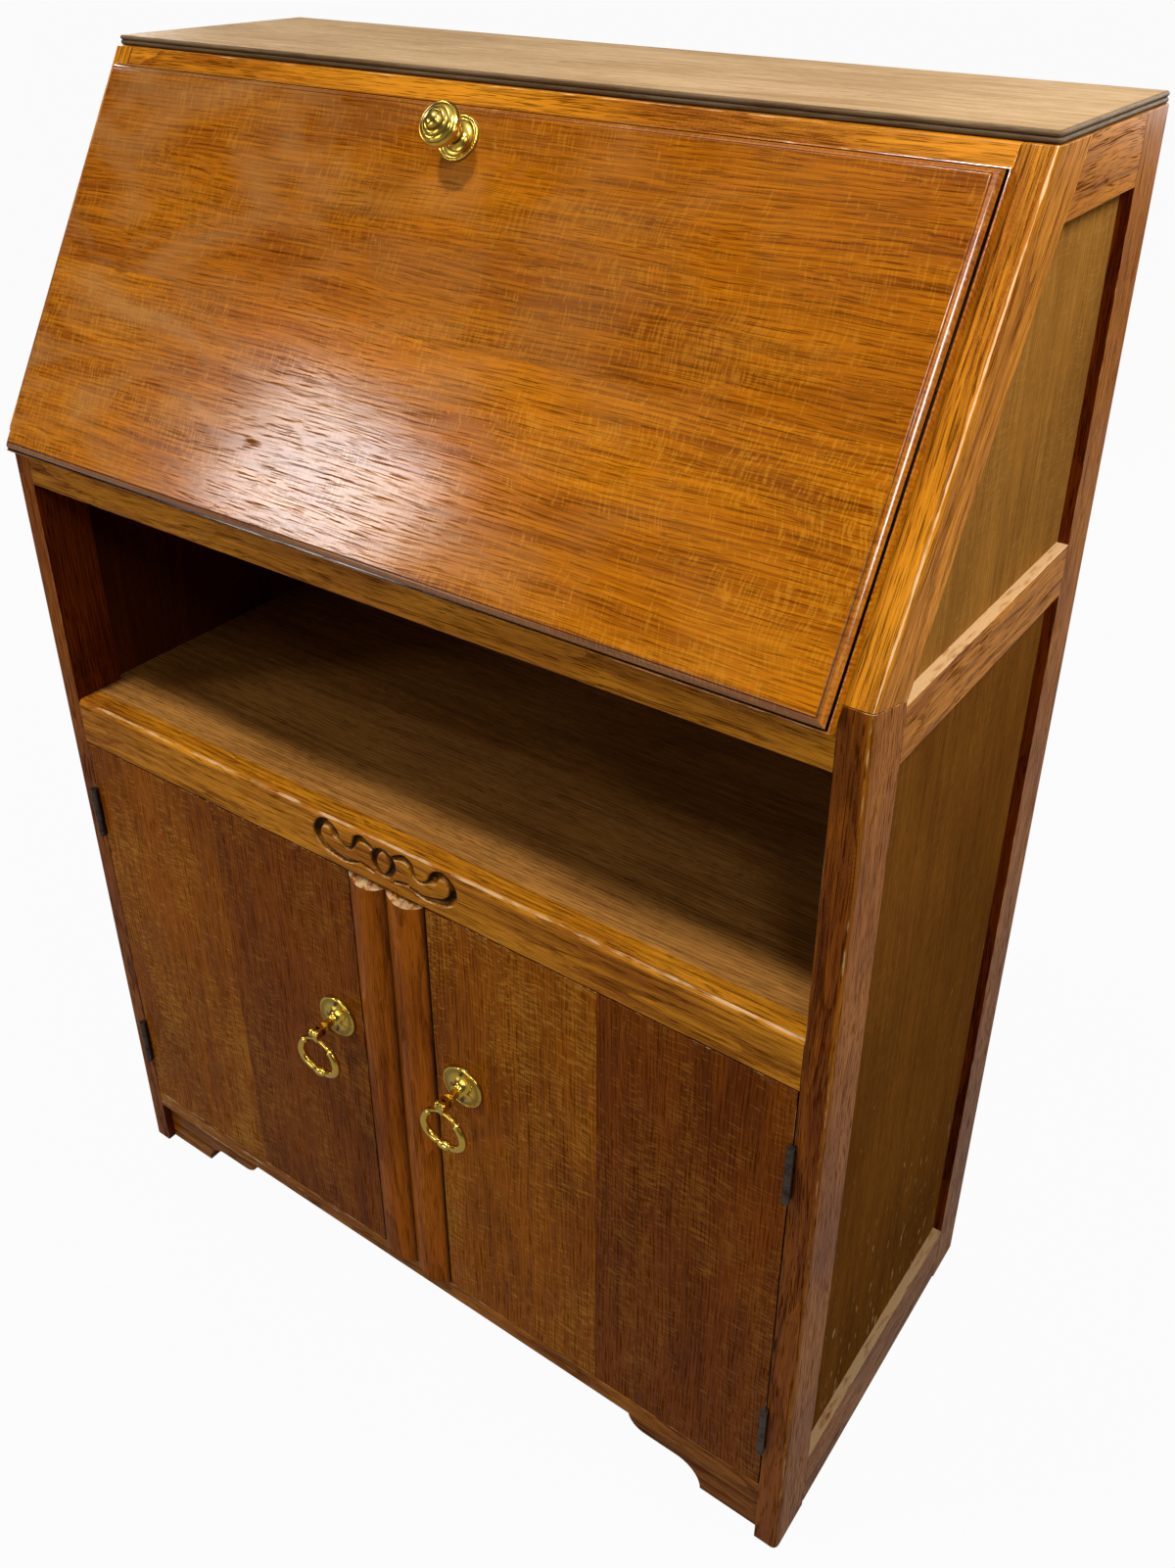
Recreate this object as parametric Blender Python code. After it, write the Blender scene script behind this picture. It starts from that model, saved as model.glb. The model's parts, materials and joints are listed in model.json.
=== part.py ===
"""Oak writing bureau: sloping fall front, open shelf and a two-door cupboard.

All sizes are in metres. X runs across the width, Y from front to back and Z up.
Pieces are placed from the floor under the middle of the carcass front, and one
empty then carries them so that the origin lies under the middle of the whole
bureau. The fall, the stays, the doors and the pull rings have their origins or
their parent empties on their own pivots.
"""

import math

import bmesh
import bpy
from mathutils import Matrix, Vector

# Overall sizes
WIDTH = 0.762
DEPTH = 0.358
HEIGHT = 1.074
BEND_Z = 0.798
SLOPE = math.radians(30.7)

# Clearances
FIT = 0.0003
DOOR_GAP = 0.0008
FREE_EDGE_GAP = 0.0012
HINGE_SIDE_GAP = 0.0010
SWING_GAP = 0.0005
PIN_PLAY = 0.0003

# Side frames
STILE_THICK = 0.0206
FRONT_STILE_DEEP = 0.046
REAR_STILE_DEEP = 0.043
ARRIS_RADIUS = 0.005
SIDE_TOP_RAIL_HIGH = 0.044
SIDE_MID_RAIL_TOP = 0.782
SIDE_MID_RAIL_HIGH = 0.040
SIDE_BOTTOM_RAIL_TOP = 0.066
SIDE_BOTTOM_RAIL_LIFT = 0.004
PANEL_THICK = 0.006
PANEL_RECESS = 0.008

# Boards and rails between the sides
TOP_THICK = 0.007
TOP_SET_IN = 0.001
TOP_SET_BACK = 0.004
TOP_CORNER_RADIUS = 0.003
BOARD_THICK = 0.018
RAIL_THICK = 0.020
HEAD_RAIL_WIDE = 0.036
HEAD_RAIL_SHOWING = 0.0165
FALL_RAIL_BOTTOM = 0.7535
SHELF_TOP = 0.5505
SHELF_RAIL_HIGH = 0.044
SHELF_EDGE_RADIUS = 0.005
BOTTOM_RAIL_TOP = 0.0715
BOTTOM_RAIL_HIGH = 0.019
BACK_THICK = 0.006
BACK_INSET = 0.002
BACK_LIFT = 0.020

# Shaped brackets under the bottom rail
BRACKET_THICK = 0.018
BRACKET_SET_BACK = 0.008
BRACKET_FOOT = 0.057
BRACKET_COVE = 0.024
BRACKET_STEP = 0.033
BRACKET_OVOLO = 0.017

# Centre muntin with its two reeds
REED_WIDE = 0.0392
REED_RISE = 0.007
DOOR_STOP_LAP = 0.010
DOOR_STOP_THICK = 0.016

# Pigeonholes on the writing bed
PIGEON_BOARD = 0.009
PIGEON_DEEP = 0.150
PIGEON_HIGH = 0.105
PIGEON_SIDE_GAP = 0.008

# Fall front
FALL_THICK = 0.015
FALL_LAP = 0.002
FALL_HINGE_OUT = 0.006
LIP_THICK = 0.0035
LIP_WIDE = 0.0022
OVOLO_RISE = 0.0025
OVOLO_RADIUS = 0.008

# Hinges of the fall and of the doors
LEAF_THICK = 0.0015
KNUCKLE_RADIUS = 0.003
PIN_RADIUS = 0.0012
FALL_HINGE_LONG = 0.032
FALL_HINGE_END = 0.002
FALL_LEAF_WIDE = 0.020
FALL_LEAF_MARGIN = 0.003
DOOR_HINGE_LONG = 0.052
DOOR_HINGE_DROP = 0.074
DOOR_LEAF_WIDE = 0.017

# Curved-slot stays that hold the fall level
STAY_PIVOT_ALONG = 0.110
STAY_PIVOT_IN = 0.009
STAY_GUIDE_ALONG = 0.130
STAY_GUIDE_IN = 0.030
STAY_TURN_RATIO = 0.28
STAY_INSET = 0.006
STAY_THICK = 0.002
STAY_HALF_WIDE = 0.0065
STAY_PIN_RADIUS = 0.0022
STAY_HEAD_RADIUS = 0.0046
STAY_HEAD_THICK = 0.0012
STAY_PLATE_RADIUS = 0.010
STAY_PLATE_THICK = 0.002
STAY_EAR_THICK = 0.0025
STAY_EAR_RADIUS = 0.0065
STAY_FOOT_LONG = 0.026
STAY_FOOT_WIDE = 0.020
STAY_STEPS = 12

# Doors
DOOR_THICK = 0.018

# Turned knob and its rose on the fall
KNOB_DROP = 0.026
KNOB_RADIUS = 0.0154
KNOB_NECK_RADIUS = 0.0050
KNOB_WAIST_RADIUS = 0.0040
KNOB_NECK_LONG = 0.0115
KNOB_HEAD_LONG = 0.0120
KNOB_BACK_RADIUS = 0.0132
KNOB_SHOULDER_RADIUS = 0.0139
KNOB_FACE_RADIUS = 0.0102
KNOB_BOSS_RADIUS = 0.0058
KNOB_BOSS_RISE = 0.0035
KNOB_CROWN_RADIUS = 0.0046
KNOB_CROWN_RISE = 0.0021
KNOB_ROSE_RADIUS = 0.0158
KNOB_ROSE_THICK = 0.0045
KNOB_ROSE_RIM = 0.0020

# Drop pulls on the doors
PULL_EDGE = 0.029
PULL_HEIGHT = 0.338
PULL_ROSE_RADIUS = 0.020
PULL_ROSE_EDGE = 0.0018
PULL_RIM_RADIUS = 0.0184
PULL_RIM_LEVEL = 0.0030
PULL_DISH_RADIUS = 0.0164
PULL_DISH_LEVEL = 0.0021
PULL_DOME_RADIUS = 0.0090
PULL_DOME_LEVEL = 0.0039
PULL_COLLAR_RADIUS = 0.0054
PULL_COLLAR_LEVEL = 0.0066
PULL_STEM_RADIUS = 0.0036
PULL_STEM_LEVEL = 0.0096
PULL_PIVOT_OUT = 0.027
PULL_FORK_RADIUS = 0.0042
PULL_CHEEK_THICK = 0.0022
PULL_EYE_THICK = 0.0040
PULL_EYE_RADIUS = 0.0036
PULL_PIN_RADIUS = 0.0015
PULL_RING_HALF_WIDE = 0.0235
PULL_RING_LONG = 0.0430
PULL_RING_PINCH = 0.28
PULL_SHOULDER = 0.35
PULL_NECK_LONG = 0.0068
PULL_RING_TOP_THICK = 0.0030
PULL_RING_THICK = 0.0070
PULL_BEAD_THICK = 0.0082

# Facets of round work
ROUND_SIDES = 16
TURNED_SIDES = 32
RING_SIDES = 8
RING_STEPS = 28
ARC_STEPS = 4

# Values that follow from the sizes above
HALF = WIDTH / 2
STILE_IN = HALF - STILE_THICK
CASE_TOP = HEIGHT - TOP_THICK
REAR_STILE_FRONT = DEPTH - REAR_STILE_DEEP
BACK_FRONT = DEPTH - BACK_INSET - BACK_THICK
PANEL_OUT = HALF - PANEL_RECESS
PANEL_IN = PANEL_OUT - PANEL_THICK
SLOPE_SIN = math.sin(SLOPE)
SLOPE_COS = math.cos(SLOPE)
SLOPE_TAN = math.tan(SLOPE)
MITRE_Z = BEND_Z - FRONT_STILE_DEEP * math.tan(SLOPE / 2)
SLOPE_TOP = (CASE_TOP - BEND_Z) / SLOPE_COS
SIDE_MID_RAIL_BOTTOM = SIDE_MID_RAIL_TOP - SIDE_MID_RAIL_HIGH
SHELF_RAIL_BOTTOM = SHELF_TOP - SHELF_RAIL_HIGH
BOTTOM_RAIL_BOTTOM = BOTTOM_RAIL_TOP - BOTTOM_RAIL_HIGH

# The fall turns about a line in the slope plane, just in front of its rail
FALL_AXIS_ALONG = -FALL_HINGE_OUT / SLOPE_SIN
FALL_AXIS_Z = BEND_Z + FALL_AXIS_ALONG * SLOPE_COS
FALL_TRAVEL = math.pi / 2 + SLOPE
FALL_BELOW_AXIS = FALL_HINGE_OUT - SWING_GAP
FALL_ABOVE_AXIS = SLOPE_TOP - HEAD_RAIL_SHOWING - FALL_AXIS_ALONG
FALL_HALF = STILE_IN + FALL_LAP
FALL_INNER = -FIT
FALL_OUTER = FALL_INNER - FALL_THICK
BED_TOP = FALL_AXIS_Z

# The doors, their pulls, the stays and the pigeonholes
MUNTIN_HALF = REED_WIDE
DOOR_FREE = MUNTIN_HALF + FREE_EDGE_GAP
DOOR_HINGED = STILE_IN - HINGE_SIDE_GAP
DOOR_AXIS_X = STILE_IN - HINGE_SIDE_GAP / 2
DOOR_AXIS_Y = -KNUCKLE_RADIUS - FIT
DOOR_BOTTOM = BOTTOM_RAIL_TOP + DOOR_GAP
DOOR_TOP = SHELF_RAIL_BOTTOM - DOOR_GAP
PULL_X = DOOR_FREE + PULL_EDGE
PULL_REACH = PULL_PIVOT_OUT + PULL_FORK_RADIUS
STAY_X = STILE_IN - STAY_INSET
PIGEON_HALF = STAY_X - PIGEON_SIDE_GAP


def clear_scene():
    for obj in list(bpy.data.objects):
        bpy.data.objects.remove(obj, do_unlink=True)


def finish(name, colour, roughness, metallic=0.0):
    """A Principled material of one colour."""
    material = bpy.data.materials.new(name)
    material.use_nodes = True
    shader = material.node_tree.nodes["Principled BSDF"]
    shader.inputs["Base Color"].default_value = (*colour, 1.0)
    shader.inputs["Roughness"].default_value = roughness
    shader.inputs["Metallic"].default_value = metallic
    return material


def slope_point(along, inward=0.0):
    """(y, z) of a point along the slope from the bend, and behind its plane."""
    y = along * SLOPE_SIN + inward * SLOPE_COS
    z = BEND_Z + along * SLOPE_COS - inward * SLOPE_SIN
    return y, z


def slope_front(z):
    """y of the slope plane at a height."""
    return (z - BEND_Z) * SLOPE_TAN


def slope_back(z):
    """y of the slope stiles' back edge at a height."""
    return FRONT_STILE_DEEP + (z - MITRE_Z) * SLOPE_TAN


def arc(centre, radius, start, end, steps=ARC_STEPS):
    """Points on an arc, with its two angles in degrees."""
    points = []
    for step in range(steps + 1):
        angle = math.radians(start + (end - start) * step / steps)
        points.append((centre[0] + radius * math.cos(angle), centre[1] + radius * math.sin(angle)))
    return points


def prism(outline, axis, low, high):
    """A bmesh of a flat outline pushed along X, Y or Z.

    The outline's two coordinates are the other two axes, in X, Y, Z order.
    """
    bm = bmesh.new()
    places = [index for index in range(3) if index != "XYZ".index(axis)]
    ends = []
    for level in (low, high):
        ring = []
        for point in outline:
            place = [level] * 3
            place[places[0]], place[places[1]] = point
            ring.append(bm.verts.new(place))
        ends.append(ring)
    bm.faces.new(ends[0])
    bm.faces.new(ends[1])
    count = len(outline)
    for index in range(count):
        following = (index + 1) % count
        bm.faces.new((ends[0][index], ends[0][following], ends[1][following], ends[1][index]))
    bmesh.ops.recalc_face_normals(bm, faces=bm.faces)
    return bm


def box(low, high):
    """A bmesh box between two opposite corners."""
    outline = [(low[0], low[1]), (high[0], low[1]), (high[0], high[1]), (low[0], high[1])]
    return prism(outline, "Z", low[2], high[2])


def rod(axis, centre, radius, low, high, sides=ROUND_SIDES):
    """A bmesh rod along X, Y or Z, whose centre gives the other two coordinates."""
    outline = arc(centre, radius, 0.0, 360.0 * (sides - 1) / sides, sides - 1)
    return prism(outline, axis, low, high)


def turned(profile, sides=TURNED_SIDES):
    """A bmesh turned about Z from (radius, z) points that start and end on the axis."""
    bm = bmesh.new()
    rings = []
    for radius, height in profile:
        if radius == 0.0:
            rings.append([bm.verts.new((0.0, 0.0, height))])
            continue
        circle = arc((0.0, 0.0), radius, 0.0, 360.0 * (sides - 1) / sides, sides - 1)
        rings.append([bm.verts.new((x, y, height)) for x, y in circle])
    for lower, upper in zip(rings, rings[1:]):
        for index in range(sides):
            following = (index + 1) % sides
            corners = [lower[index % len(lower)], lower[following % len(lower)]]
            corners += [upper[following % len(upper)], upper[index % len(upper)]]
            bm.faces.new(dict.fromkeys(corners))
    bmesh.ops.recalc_face_normals(bm, faces=bm.faces)
    return bm


def add(name, bm, material, parent, location=(0.0, 0.0, 0.0), smooth=False):
    """Turn a bmesh into a named object under its parent."""
    mesh = bpy.data.meshes.new(name)
    bm.to_mesh(mesh)
    bm.free()
    mesh.materials.append(material)
    if smooth:
        mesh.shade_smooth()
        mesh.set_sharp_from_angle(angle=math.radians(35))
    obj = bpy.data.objects.new(name, mesh)
    bpy.context.scene.collection.objects.link(obj)
    obj.parent = parent
    obj.location = location
    return obj


def combine(body, tools, operation):
    """Join bmesh tools to a bmesh body, or cut them out of it, one after another."""
    mesh = bpy.data.meshes.new("work")
    body.to_mesh(mesh)
    body.free()
    work = bpy.data.objects.new("work", mesh)
    bpy.context.scene.collection.objects.link(work)
    for tool in tools:
        tool_mesh = bpy.data.meshes.new("tool")
        tool.to_mesh(tool_mesh)
        tool.free()
        tool_object = bpy.data.objects.new("tool", tool_mesh)
        bpy.context.scene.collection.objects.link(tool_object)
        modifier = work.modifiers.new("combine", "BOOLEAN")
        modifier.operation = operation
        modifier.object = tool_object
        graph = bpy.context.evaluated_depsgraph_get()
        result = bpy.data.meshes.new_from_object(work.evaluated_get(graph))
        work.modifiers.remove(modifier)
        work.data = result
        bpy.data.objects.remove(tool_object, do_unlink=True)
    bm = bmesh.new()
    bm.from_mesh(work.data)
    bpy.data.objects.remove(work, do_unlink=True)
    return bm


def empty(name, parent=None, location=(0.0, 0.0, 0.0)):
    obj = bpy.data.objects.new(name, None)
    bpy.context.scene.collection.objects.link(obj)
    obj.parent = parent
    obj.location = location
    return obj


def span(side, near, far):
    """Low and high x of a piece that lies between two distances from the middle."""
    return sorted((side * near, side * far))


def round_arris(bm, side):
    """Round the outer front corner of a stile, straight or sloping."""
    edges = []
    for edge in bm.edges:
        outer = all(abs(vert.co.x - side * HALF) < FIT / 2 for vert in edge.verts)
        front = all(abs(vert.co.y - max(0.0, slope_front(vert.co.z))) < FIT / 2 for vert in edge.verts)
        if outer and front:
            edges.append(edge)
    bmesh.ops.bevel(bm, geom=edges, offset=ARRIS_RADIUS, segments=ARC_STEPS, profile=0.5, affect="EDGES")
    return bm


def side_frame(hand, side, oak, frame):
    """One side: three stiles and three rails round two recessed panels."""
    inner, outer = span(side, STILE_IN, HALF)
    top = CASE_TOP - FIT

    outline = [(0.0, 0.0), (FRONT_STILE_DEEP, 0.0), (FRONT_STILE_DEEP, MITRE_Z), (0.0, BEND_Z)]
    front = prism(outline, "X", inner, outer)
    hinge_cuts = [door_leaf_recess(side, z) for z in door_hinge_heights()]
    front = combine(round_arris(front, side), hinge_cuts, "DIFFERENCE")
    add(f"{hand}_front_stile", front, oak, frame)

    low_front = BEND_Z + FIT
    low_back = MITRE_Z + FIT
    outline = [(slope_front(low_front), low_front), (slope_back(low_back), low_back)]
    outline += [(slope_back(top), top), (slope_front(top), top)]
    slope = round_arris(prism(outline, "X", inner, outer), side)
    add(f"{hand}_slope_stile", slope, oak, frame)

    rear = box((inner, REAR_STILE_FRONT, 0.0), (outer, DEPTH, top))
    add(f"{hand}_rear_stile", rear, oak, frame)

    front_gap = FIT / SLOPE_COS
    rail_front = FRONT_STILE_DEEP + FIT
    rail_back = REAR_STILE_FRONT - FIT
    low = CASE_TOP - SIDE_TOP_RAIL_HIGH
    outline = [(slope_back(low) + front_gap, low), (rail_back, low)]
    outline += [(rail_back, top), (slope_back(top) + front_gap, top)]
    add(f"{hand}_side_top_rail", prism(outline, "X", inner, outer), oak, frame)

    mid = box((inner, rail_front, SIDE_MID_RAIL_BOTTOM), (outer, rail_back, SIDE_MID_RAIL_TOP))
    add(f"{hand}_side_mid_rail", mid, oak, frame)

    bottom = box((inner, rail_front, SIDE_BOTTOM_RAIL_LIFT), (outer, rail_back, SIDE_BOTTOM_RAIL_TOP))
    add(f"{hand}_side_bottom_rail", bottom, oak, frame)

    inner, outer = span(side, PANEL_IN, PANEL_OUT)
    low = SIDE_BOTTOM_RAIL_TOP + FIT
    lower = box((inner, rail_front, low), (outer, rail_back, SIDE_MID_RAIL_BOTTOM - FIT))
    add(f"{hand}_lower_side_panel", lower, oak, frame)

    low = SIDE_MID_RAIL_TOP + FIT
    high = CASE_TOP - SIDE_TOP_RAIL_HIGH - FIT
    outline = [(rail_front, low), (rail_back, low), (rail_back, high)]
    outline += [(slope_back(high) + front_gap, high), (rail_front, max(low, MITRE_Z) + FIT)]
    add(f"{hand}_upper_side_panel", prism(outline, "X", inner, outer), oak, frame)


def across(name, y_low, y_high, z_low, z_high, oak, frame):
    """A plain board that fits between the two side frames."""
    reach = STILE_IN - FIT
    return add(name, box((-reach, y_low, z_low), (reach, y_high, z_high)), oak, frame)


def top_board(oak, frame):
    reach = HALF - TOP_SET_IN
    front = slope_front(CASE_TOP) + TOP_SET_BACK
    radius = TOP_CORNER_RADIUS
    outline = [(reach, DEPTH), (-reach, DEPTH)]
    outline += arc((radius - reach, front + radius), radius, 180.0, 270.0)
    outline += arc((reach - radius, front + radius), radius, 270.0, 360.0)
    add("top_board", prism(outline, "Z", CASE_TOP, HEIGHT), oak, frame)


def head_rail(oak, frame):
    """The rail over the fall, with its face in the slope plane."""
    low = SLOPE_TOP - HEAD_RAIL_WIDE
    top = CASE_TOP - FIT
    top_back = slope_front(top) + RAIL_THICK / SLOPE_COS
    outline = [slope_point(low), slope_point(low, RAIL_THICK), (top_back, top), (slope_front(top), top)]
    reach = STILE_IN - FIT
    add("head_rail", prism(outline, "X", -reach, reach), oak, frame)


def fall_hinge_span(side):
    far = STILE_IN - FALL_HINGE_END
    return span(side, far - FALL_HINGE_LONG, far)


def fall_rail(oak, frame):
    """The rail under the fall, its top cut for the fixed leaves of the fall's hinges."""
    reach = STILE_IN - FIT
    rail = box((-reach, 0.0, FALL_RAIL_BOTTOM), (reach, RAIL_THICK, BED_TOP))
    cuts = []
    for side in (-1, 1):
        low, high = fall_hinge_span(side)
        bottom = BED_TOP - LEAF_THICK - 2 * FIT
        back = RAIL_THICK - FALL_LEAF_MARGIN + FIT
        cuts.append(box((low - FIT, -RAIL_THICK, bottom), (high + FIT, back, BED_TOP + FIT)))
    add("fall_rail", combine(rail, cuts, "DIFFERENCE"), oak, frame)


def shelf_board(oak, frame):
    """The open shelf, notched round the stiles so that it meets the side panels."""
    narrow = STILE_IN - FIT
    wide = PANEL_IN - FIT
    notch_front = FRONT_STILE_DEEP + FIT
    notch_back = REAR_STILE_FRONT - FIT
    front = RAIL_THICK + FIT
    back = BACK_FRONT - FIT
    right = [(narrow, front), (narrow, notch_front), (wide, notch_front)]
    right += [(wide, notch_back), (narrow, notch_back), (narrow, back)]
    left = [(-x, y) for x, y in reversed(right)]
    add("shelf_board", prism(right + left, "Z", SHELF_TOP - BOARD_THICK, SHELF_TOP), oak, frame)


def shelf_rail(oak, frame):
    """The deep rail along the shelf's front, with a rounded top edge."""
    radius = SHELF_EDGE_RADIUS
    outline = [(RAIL_THICK, SHELF_TOP), (RAIL_THICK, SHELF_RAIL_BOTTOM), (0.0, SHELF_RAIL_BOTTOM)]
    outline += arc((radius, SHELF_TOP - radius), radius, 180.0, 90.0)
    reach = STILE_IN - FIT
    add("shelf_rail", prism(outline, "X", -reach, reach), oak, frame)


def centre_muntin(oak, frame):
    """The post between the doors: two reeds in front, a door stop behind."""
    radius = (REED_WIDE ** 2 / 4 + REED_RISE ** 2) / (2 * REED_RISE)
    half_angle = math.degrees(math.asin(REED_WIDE / 2 / radius))
    centre_y = radius - REED_RISE
    reeds = []
    for centre_x in (-REED_WIDE / 2, REED_WIDE / 2):
        reeds += arc((centre_x, centre_y), radius, 270.0 - half_angle, 270.0 + half_angle, 2 * ARC_STEPS)
    del reeds[2 * ARC_STEPS + 1]
    stop_front = DOOR_THICK + FREE_EDGE_GAP
    stop_back = stop_front + DOOR_STOP_THICK
    stop = MUNTIN_HALF + DOOR_STOP_LAP
    outline = reeds + [(MUNTIN_HALF, stop_front), (stop, stop_front), (stop, stop_back)]
    outline += [(-stop, stop_back), (-stop, stop_front), (-MUNTIN_HALF, stop_front)]
    low = BOTTOM_RAIL_TOP + FIT
    add("centre_muntin", prism(outline, "Z", low, SHELF_RAIL_BOTTOM - FIT), oak, frame)


def bracket(hand, side, oak, frame):
    """A shaped bracket: a flat foot, a cove up to a step, and a rounded end."""
    top = BOTTOM_RAIL_BOTTOM - FIT
    cove_end = BRACKET_FOOT + BRACKET_COVE
    step_end = cove_end + BRACKET_STEP
    profile = [(0.0, top), (0.0, 0.0)]
    profile += arc((cove_end, 0.0), BRACKET_COVE, 180.0, 90.0)
    profile += arc((step_end, BRACKET_COVE + BRACKET_OVOLO), BRACKET_OVOLO, 270.0, 360.0)
    profile.append((step_end + BRACKET_OVOLO, top))
    outline = [(side * (STILE_IN - FIT - away), z) for away, z in profile]
    back = BRACKET_SET_BACK + BRACKET_THICK
    add(f"{hand}_bracket", prism(outline, "Y", BRACKET_SET_BACK, back), oak, frame)


def pigeonholes(oak, frame):
    """A shelf on two ends and two dividers, standing on the writing bed."""
    back = BACK_FRONT - FIT
    front = back - PIGEON_DEEP
    low = BED_TOP + FIT
    high = BED_TOP + PIGEON_HIGH
    bay = 2 * PIGEON_HALF / 3
    places = {
        "pigeonhole_left_end": -PIGEON_HALF + PIGEON_BOARD / 2,
        "pigeonhole_left_divider": -bay / 2,
        "pigeonhole_right_divider": bay / 2,
        "pigeonhole_right_end": PIGEON_HALF - PIGEON_BOARD / 2,
    }
    for name, x in places.items():
        upright = box((x - PIGEON_BOARD / 2, front, low), (x + PIGEON_BOARD / 2, back, high))
        add(name, upright, oak, frame)
    shelf_low = high + FIT
    shelf = box((-PIGEON_HALF, front, shelf_low), (PIGEON_HALF, back, shelf_low + PIGEON_BOARD))
    add("pigeonhole_shelf", shelf, oak, frame)


def carcass(oak, frame):
    for hand, side in (("left", -1), ("right", 1)):
        side_frame(hand, side, oak, frame)
        bracket(hand, side, oak, frame)
    top_board(oak, frame)
    head_rail(oak, frame)
    fall_rail(oak, frame)
    shelf_board(oak, frame)
    shelf_rail(oak, frame)
    centre_muntin(oak, frame)
    behind_rail = RAIL_THICK + FIT
    back = BACK_FRONT - FIT
    across("writing_bed", behind_rail, back, BED_TOP - BOARD_THICK, BED_TOP, oak, frame)
    across("bottom_rail", 0.0, RAIL_THICK, BOTTOM_RAIL_BOTTOM, BOTTOM_RAIL_TOP, oak, frame)
    floor_low = BOTTOM_RAIL_TOP - BOARD_THICK
    across("cupboard_floor", behind_rail, back, floor_low, BOTTOM_RAIL_TOP, oak, frame)
    across("back_panel", BACK_FRONT, BACK_FRONT + BACK_THICK, BACK_LIFT, CASE_TOP - FIT, oak, frame)
    pigeonholes(oak, frame)


def knuckle_ends(low, high):
    """Ends of the middle knuckle and of the two outer ones, along a hinge pin."""
    third = (high - low) / 3
    middle = [(low + third, high - third)]
    outer = [(low, low + third - FIT), (high - third + FIT, high)]
    return middle, outer


def leaf_outline(low, high, front, back, tabs, tip):
    """(along, across) corners of a hinge leaf whose tabs reach from its front edge to the pin."""
    edge = []
    for start, end in tabs:
        edge += [(start, front), (start, tip), (end, tip), (end, front)]
    if tabs[0][0] > low:
        edge = [(low, front)] + edge + [(high, front)]
    else:
        edge = edge[1:-1]
    return [(low, back)] + edge + [(high, back)]


def knuckles(axis, centre, tabs):
    """Barrels round a hinge pin, a hair shorter than the tabs that carry them."""
    hair = FIT / 3
    return [rod(axis, centre, KNUCKLE_RADIUS, start + hair, end - hair) for start, end in tabs]


def fall_hinge(hand, side, steel, frame, fall):
    """A back-flap hinge: one leaf let into the rail's top, one on the fall's inner face."""
    low, high = fall_hinge_span(side)
    middle, outer = knuckle_ends(low, high)
    axis = (-FALL_HINGE_OUT, FALL_AXIS_Z)

    top = BED_TOP - FIT
    outline = leaf_outline(low, high, 0.0, RAIL_THICK - FALL_LEAF_MARGIN, middle, axis[0])
    plate = prism(outline, "Z", top - LEAF_THICK, top)
    pin = rod("X", axis, PIN_RADIUS, low, high)
    fixed = combine(plate, knuckles("X", axis, middle) + [pin], "UNION")
    add(f"{hand}_fall_hinge_fixed_leaf", fixed, steel, frame, smooth=True)

    clear = KNUCKLE_RADIUS + SWING_GAP
    outline = leaf_outline(low, high, -clear, -FALL_LEAF_WIDE, outer, 0.0)
    plate = prism(outline, "Z", FALL_INNER - LEAF_THICK, FALL_INNER)
    bore = rod("X", (0.0, 0.0), PIN_RADIUS + PIN_PLAY, low - FIT, high + FIT)
    moving = combine(plate, knuckles("X", (0.0, 0.0), outer), "UNION")
    moving = combine(moving, [bore], "DIFFERENCE")
    add(f"{hand}_fall_hinge_moving_leaf", moving, steel, fall, smooth=True)


def fall_panel(oak, fall):
    """The fall, modelled lying open, with a lip and an ovolo moulded round its face."""
    lip_level = FALL_INNER - LIP_THICK
    ovolo_level = lip_level - OVOLO_RISE
    face_inset = LIP_WIDE + OVOLO_RADIUS
    profile = [(0.0, FALL_INNER), (0.0, lip_level), (LIP_WIDE, lip_level)]
    profile += arc((face_inset, ovolo_level), OVOLO_RADIUS, 180.0, 270.0)
    profile.append((face_inset, FALL_OUTER))
    bm = bmesh.new()
    rings = []
    for inset, level in profile:
        x = FALL_HALF - inset
        near = FALL_BELOW_AXIS - inset
        far = inset - FALL_ABOVE_AXIS
        corners = [(-x, far), (x, far), (x, near), (-x, near)]
        rings.append([bm.verts.new((*corner, level)) for corner in corners])
    bm.faces.new(rings[0])
    bm.faces.new(rings[-1])
    for upper, lower in zip(rings, rings[1:]):
        for index in range(4):
            following = (index + 1) % 4
            bm.faces.new((upper[index], upper[following], lower[following], lower[index]))
    bmesh.ops.recalc_face_normals(bm, faces=bm.faces)
    cuts = []
    for side in (-1, 1):
        low, high = fall_hinge_span(side)
        clear = KNUCKLE_RADIUS + SWING_GAP
        leaf_low = FALL_INNER - LEAF_THICK - FIT
        low -= FIT
        high += FIT
        cuts.append(box((low, -FALL_LEAF_WIDE - FIT, leaf_low), (high, FALL_THICK, FALL_THICK)))
        cuts.append(box((low, -clear, -clear), (high, FALL_THICK, FALL_THICK)))
    add("fall_panel", combine(bm, cuts, "DIFFERENCE"), oak, fall)


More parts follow.
